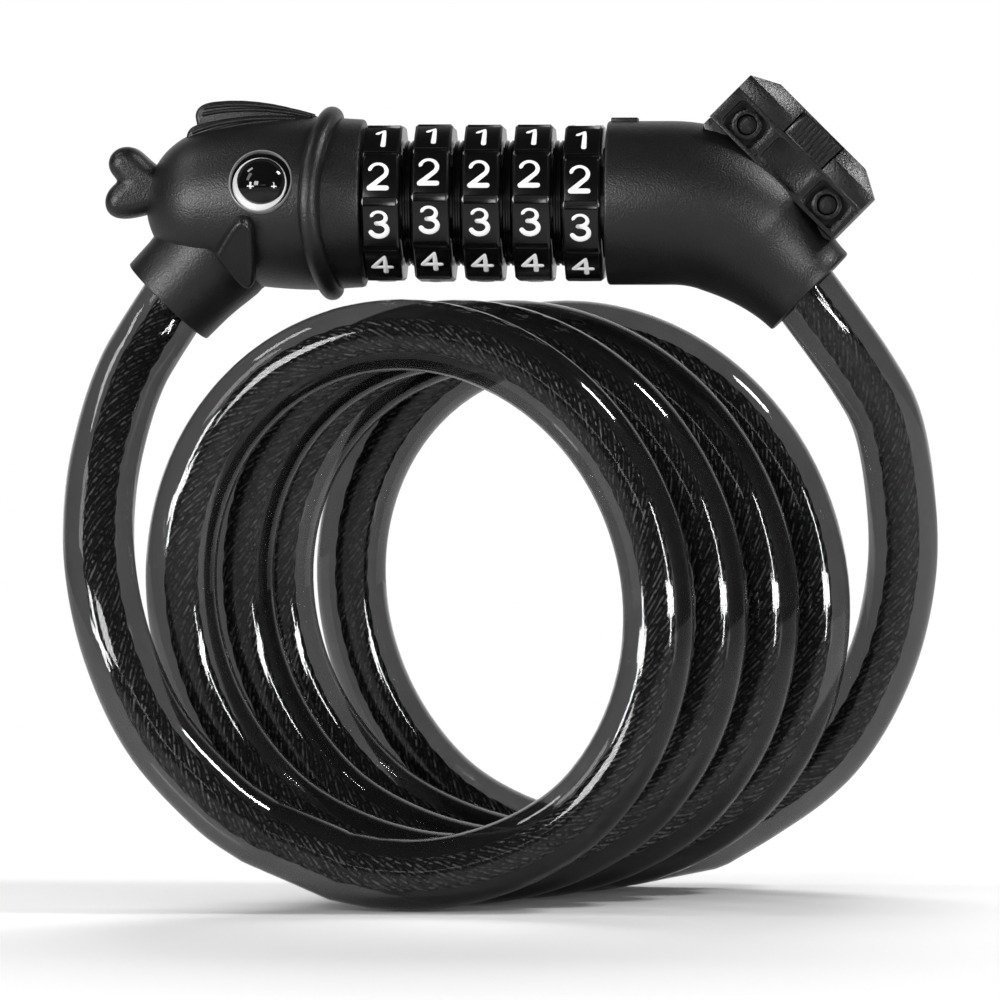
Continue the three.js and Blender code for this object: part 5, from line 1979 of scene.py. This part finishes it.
    def fin_piece(self, side: Side) -> Object:
        """A pectoral fin: a teardrop with a dished face, on its cheek.

        Args:
            side: the cheek it is on.

        Returns:
            The fin.
        """
        cheek = self.cheek(side, self.fin, self.fin_lift)
        lay = Place(cheek.at(self.fin_seat, 0.0), RIGHT, cheek.rise)
        outline = [(0.1, 5.45)]
        for knots in (
            ((0.1, 5.45), (1.3, 5.3), (2.1, 4.2), (2.15, 2.2)),
            ((2.15, 2.2), (2.3, -0.5), (2.2, -3.6), (1.95, -5.6)),
            ((1.95, -5.6), (1.8, -7.2), (1.2, -7.9), (0.4, -7.9)),
            ((0.4, -7.9), (-0.8, -7.8), (-2.6, -4.8), (-4.2, -2.4)),
            ((-4.2, -2.4), (-4.75, -1.6), (-4.7, -1), (-4.3, -0.3)),
            ((-4.3, -0.3), (-3.2, 1.4), (-1.4, 5.4), (0.1, 5.45)),
        ):
            outline += bend(*knots)
        steps = [*Shape.crown(0.75, 1.2, 4), (0.2, -0.1)]
        return Shape.pillow(f"fin_{side.name.lower()}", outline[:-1], lay, 0.4, steps, 0.2, 5)

    def eye_hole(self, side: Side) -> Object:
        """A round cutter for the hole that an eye sits in.

        Args:
            side: the cheek it is on.

        Returns:
            The cutter.
        """
        low, high, wide = self.eye_seat + 0.2, self.eye_seat + 5.0, self.eye_ring[1] - 0.1
        profile = [(low, 0.0), (low, wide), (high, wide), (high, 0.0)]
        return Shape.revolve("eye_hole", profile, self.cheek(side, self.eye, self.eye_lift, self.eye_yaw))

    def eye_pieces(self, side: Side) -> list[Object]:
        """An eye: a fine rim, a pale ring and a black dome set a little up and back from its middle.

        Args:
            side: the cheek it is on.

        Returns:
            The rim, the pale ring, the dome and the socket.
        """
        name = side.name.lower()
        cheek = self.cheek(side, self.eye, self.eye_lift, self.eye_yaw)
        s, top = self.eye_seat, self.eye_ring_top
        inner, outer = self.eye_ring
        rim = Shape.revolve(f"eye_rim_{name}", [
            (s, inner), (s, outer), (top - 0.25, outer), (top - 0.05, outer - 0.1), (top, outer - 0.22),
            (top - 0.07, inner + 0.06), (top - 0.3, inner), (s, inner),
        ], cheek, 72)
        low = Place(cheek.at(0.0, -0.41) - RIGHT * 0.22 * MM, cheek.along, cheek.rise)
        w = self.eye_white
        white = Shape.revolve(f"eye_white_{name}", [
            (s, 0.0), (s, w), (top - 0.75, w), (top - 0.64, w - 0.04), (top - 0.6, w - 0.15),
            (top - 0.6, 0.0),
        ], low, 72)
        floor = top - 0.95
        pit = [(s, 0.0), (s, inner), (floor, inner), (floor, 0.0)]
        socket = Shape.revolve(f"eye_socket_{name}", pit, cheek, 72)
        middle = cheek.at(self.eye_dome_edge, 0.32) + RIGHT * 0.22 * MM
        ahead = self.cheek(side, self.eye, self.eye_dome_lift)
        off = Place(middle - ahead.along * self.eye_dome_edge * MM, ahead.along, ahead.rise)
        edge, r, ball = self.eye_dome_edge, self.eye_dome, self.eye_ball
        start = math.degrees(math.asin(r / ball))
        sunk = edge - math.sqrt(ball**2 - r**2)
        dome = [(s, 0.0), (s, r)] + [(sunk + a, b) for a, b in arc((0, 0), (ball, ball), start, 0, 18)]
        pupil = Shape.revolve(f"eye_dome_{name}", [*dome[:-1], (sunk + ball, 0.0)], off, 72)
        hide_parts(f"eye_ring_{name}")
        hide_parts(f"eye_dome_{name}")
        finishes = {rim: EYE_RIM, white: EYE_PALE, pupil: EYE_BLACK, socket: EYE_BLACK}
        for piece, finish in finishes.items():
            finish.dress(piece)
        return list(finishes)

    def build(self) -> list[Object]:
        """Models and dresses the head.

        Returns:
            Its pieces.
        """
        skull = Bench.cut(self.skull(), [self.eye_hole(side) for side in Side])
        Bench.smooth(Bench.outward(skull))
        black = [skull, self.neck_piece(), self.gill_piece(), self.lips_piece(), *self.dorsal_pieces()]
        fins = [self.fin_piece(side) for side in Side]
        for piece in [*black, *fins]:
            HOUSING_BLACK.dress(piece)
        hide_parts("head_shell")
        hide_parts("dorsal_fin")
        for fin, side in zip(fins, Side):
            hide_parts(f"pectoral_fin_{side.name.lower()}")
        eyes = [piece for side in Side for piece in self.eye_pieces(side)]
        pieces = [*black, *fins, *eyes]
        for piece in pieces:
            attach(piece, "plug_head")
        LOG.info("fish head: %d pieces", len(pieces))
        return pieces


# ---- the works inside ---------------------------------------------------------------


@dataclass(frozen=True)
class Works:
    """The lock's inner parts, which stay as the solids made them, with their metals."""

    steel: Sequence[str] = (
        "core_tube", "core_pin", "click_spring", "front_washer", "retaining_ring", "cable_ferrule_right",
        "ferrule_pin_right", "plug_insert", "plug_bolt", "cable_ferrule_left", "ferrule_pin_left",
    )
    brass: Sequence[str] = ("tumbler_1", "tumbler_2", "tumbler_3", "tumbler_4", "tumbler_5")

    def dress(self) -> None:
        """Puts each part's metal on it."""
        for finish, nodes in ((STEEL, self.steel), (BRASS, self.brass)):
            for node in nodes:
                finish.dress_node(node)
        LOG.info("works: %d parts dressed", len(self.steel) + len(self.brass))


# ---- the studio ---------------------------------------------------------------------


@dataclass(frozen=True)
class Lamp:
    """A soft lamp, by its bearing from the lock's middle.

    Its bearing is in degrees round from the front, to the right, and up; its size and distance in metres.
    """

    name: str
    bearing: Pair
    size: Pair
    radiance: float
    distance: float = 1.3
    mirrored: bool = True

    def place(self, middle: Triple) -> Vector:
        """Where the lamp stands.

        Args:
            middle: the lock's middle.

        Returns:
            The lamp's place.
        """
        round_, up = (math.radians(angle) for angle in self.bearing)
        heading = Vector((math.sin(round_) * math.cos(up), -math.cos(round_) * math.cos(up), math.sin(up)))
        return Vector(middle) + heading * self.distance

    def power(self) -> float:
        """Its power in watts."""
        return math.pi * self.size[0] * self.size[1] * self.radiance


@dataclass(frozen=True)
class Studio:
    """The pale floor, the lamps and the camera at the photograph's angle."""

    target: Triple = (-0.000835, 0.0, 0.0679)
    camera: Triple = (0.083365, -1.1466, 0.0960)
    lens: float = 243.2
    room_light: float = 0.1
    gloss_room: float = 0.03
    gloss_behind: float = 0.8
    floor_pale: float = 0.78
    floor_gloss: float = 0.45
    floor_reach: Pair = (0.23, 0.52)
    lamps: Sequence[Lamp] = (
        Lamp("left_strip", (-47.0, 8.0), (0.16, 0.5), 22.0),
        Lamp("left_bar", (-47.0, 5.0), (0.62, 0.1), 22.0),
        Lamp("left_high", (-62.0, 34.0), (0.26, 0.5), 3.5),
        Lamp("top_left", (-86.0, 52.0), (0.2, 0.34), 9.0),
        Lamp("right_strip", (43.0, 8.0), (0.1, 0.5), 21.0),
        Lamp("right_bar", (43.0, 4.0), (0.5, 0.1), 25.0),
        Lamp("key", (-25.0, 16.0), (0.36, 0.32), 13.0),
        Lamp("brow", (1.0, 9.0), (0.5, 0.04), 2.5),
        Lamp("top_right", (86.0, 47.0), (0.22, 0.22), 46.0),
        Lamp("top", (0.0, 89.0), (0.9, 0.9), 0.8, 1.2, False),
        Lamp("behind", (180.0, 44.0), (0.9, 0.5), 10.5, 1.3, False),
    )

    def aim(self, obj: Object, place: Vector) -> None:
        """Stands an object at a place, looking at the lock.

        Args:
            obj: the camera or lamp.
            place: where it stands.
        """
        obj.location = place
        heading = Vector(self.target) - place
        obj.rotation_euler = heading.to_track_quat("-Z", "Y").to_euler()

    def set_camera(self) -> None:
        """The camera, as the photograph was taken."""
        data = bpy.data.cameras.new("camera")
        data.lens = self.lens
        data.sensor_width = 36.0
        data.clip_start = 0.05
        obj = bpy.data.objects.new("camera", data)
        bpy.context.collection.objects.link(obj)
        self.aim(obj, Vector(self.camera))
        bpy.context.scene.camera = obj

    def set_lamps(self) -> None:
        """The lamps."""
        for lamp in self.lamps:
            data = bpy.data.lights.new(lamp.name, "AREA")
            data.shape = "RECTANGLE"
            data.size, data.size_y = lamp.size
            data.energy = lamp.power()
            obj = bpy.data.objects.new(lamp.name, data)
            obj.visible_camera = False
            obj.visible_glossy = lamp.mirrored
            bpy.context.collection.objects.link(obj)
            self.aim(obj, lamp.place(self.target))

    def set_world(self) -> None:
        """A white backdrop all round for the camera, behind the lock for gloss, and a dim room for light."""
        world = bpy.data.worlds.new("studio")
        bpy.context.scene.world = world
        world.use_nodes = True
        paint = Paint(world.node_tree)
        behind = paint.part(paint.node("ShaderNodeTexCoord", output="Generated"), 1).ramp(0.55, 0.9)
        seen = paint.node("ShaderNodeLightPath", output="Is Camera Ray")
        mirrored = paint.node("ShaderNodeLightPath", output="Is Glossy Ray")
        through = paint.node("ShaderNodeLightPath", output="Is Transmission Ray")
        gloss = self.gloss_room + self.gloss_behind * behind
        room = (1.0 - mirrored) * self.room_light + mirrored * gloss
        level = seen.most(through).most(room)
        light = paint.node("ShaderNodeBackground", {}, {"Color": 1.0, "Strength": level})
        paint.close(light, "ShaderNodeOutputWorld")

    def set_floor(self) -> None:
        """A pale floor that keeps the lock's shadow and runs out into the white."""
        Bench.clear()
        bpy.ops.mesh.primitive_circle_add(
            vertices=96, radius=3.0, fill_type="NGON", location=(0.0, 0.0, -0.0002),
        )
        floor = Bench.named("floor")
        made = bpy.data.materials.new("floor_white")
        made.use_nodes = True
        paint = Paint(made.node_tree)
        length = {"operation": "LENGTH"}
        reach = paint.node("ShaderNodeVectorMath", length, {0: paint.place()}, output="Value")
        far = reach.ramp(*self.floor_reach)
        camera = paint.node("ShaderNodeLightPath", output="Is Camera Ray")
        glossy = paint.node("ShaderNodeLightPath", output="Is Glossy Ray")
        pale = paint.tint(glossy, (self.floor_pale,) * 3, (self.floor_gloss,) * 3)
        lit = paint.node("ShaderNodeBsdfDiffuse", {}, {"Color": pale})
        white = paint.node("ShaderNodeEmission", {}, {"Color": 1.0, "Strength": camera.most(glossy * 0.4)})
        paint.close(paint.node("ShaderNodeMixShader", {}, {0: far, 1: lit, 2: white}))
        floor.data.materials.append(made)

    def build(self) -> None:
        """Sets the studio up."""
        bpy.context.scene.view_settings.view_transform = "Standard"
        self.set_camera()
        self.set_world()
        self.set_lamps()
        self.set_floor()


def main() -> None:
    """Builds the studio, the cable and the lock's pieces in turn."""
    logging.basicConfig(level=logging.INFO, format="%(name)s %(message)s")
    Studio().build()
    housing = BentHousing()
    head = FishHead()
    Cable(Route()).build()
    housing.build()
    BracketFoot(housing.foot()).build()
    Dials().build()
    head.build()
    Works().dress()


if __name__ == "__main__":
    main()
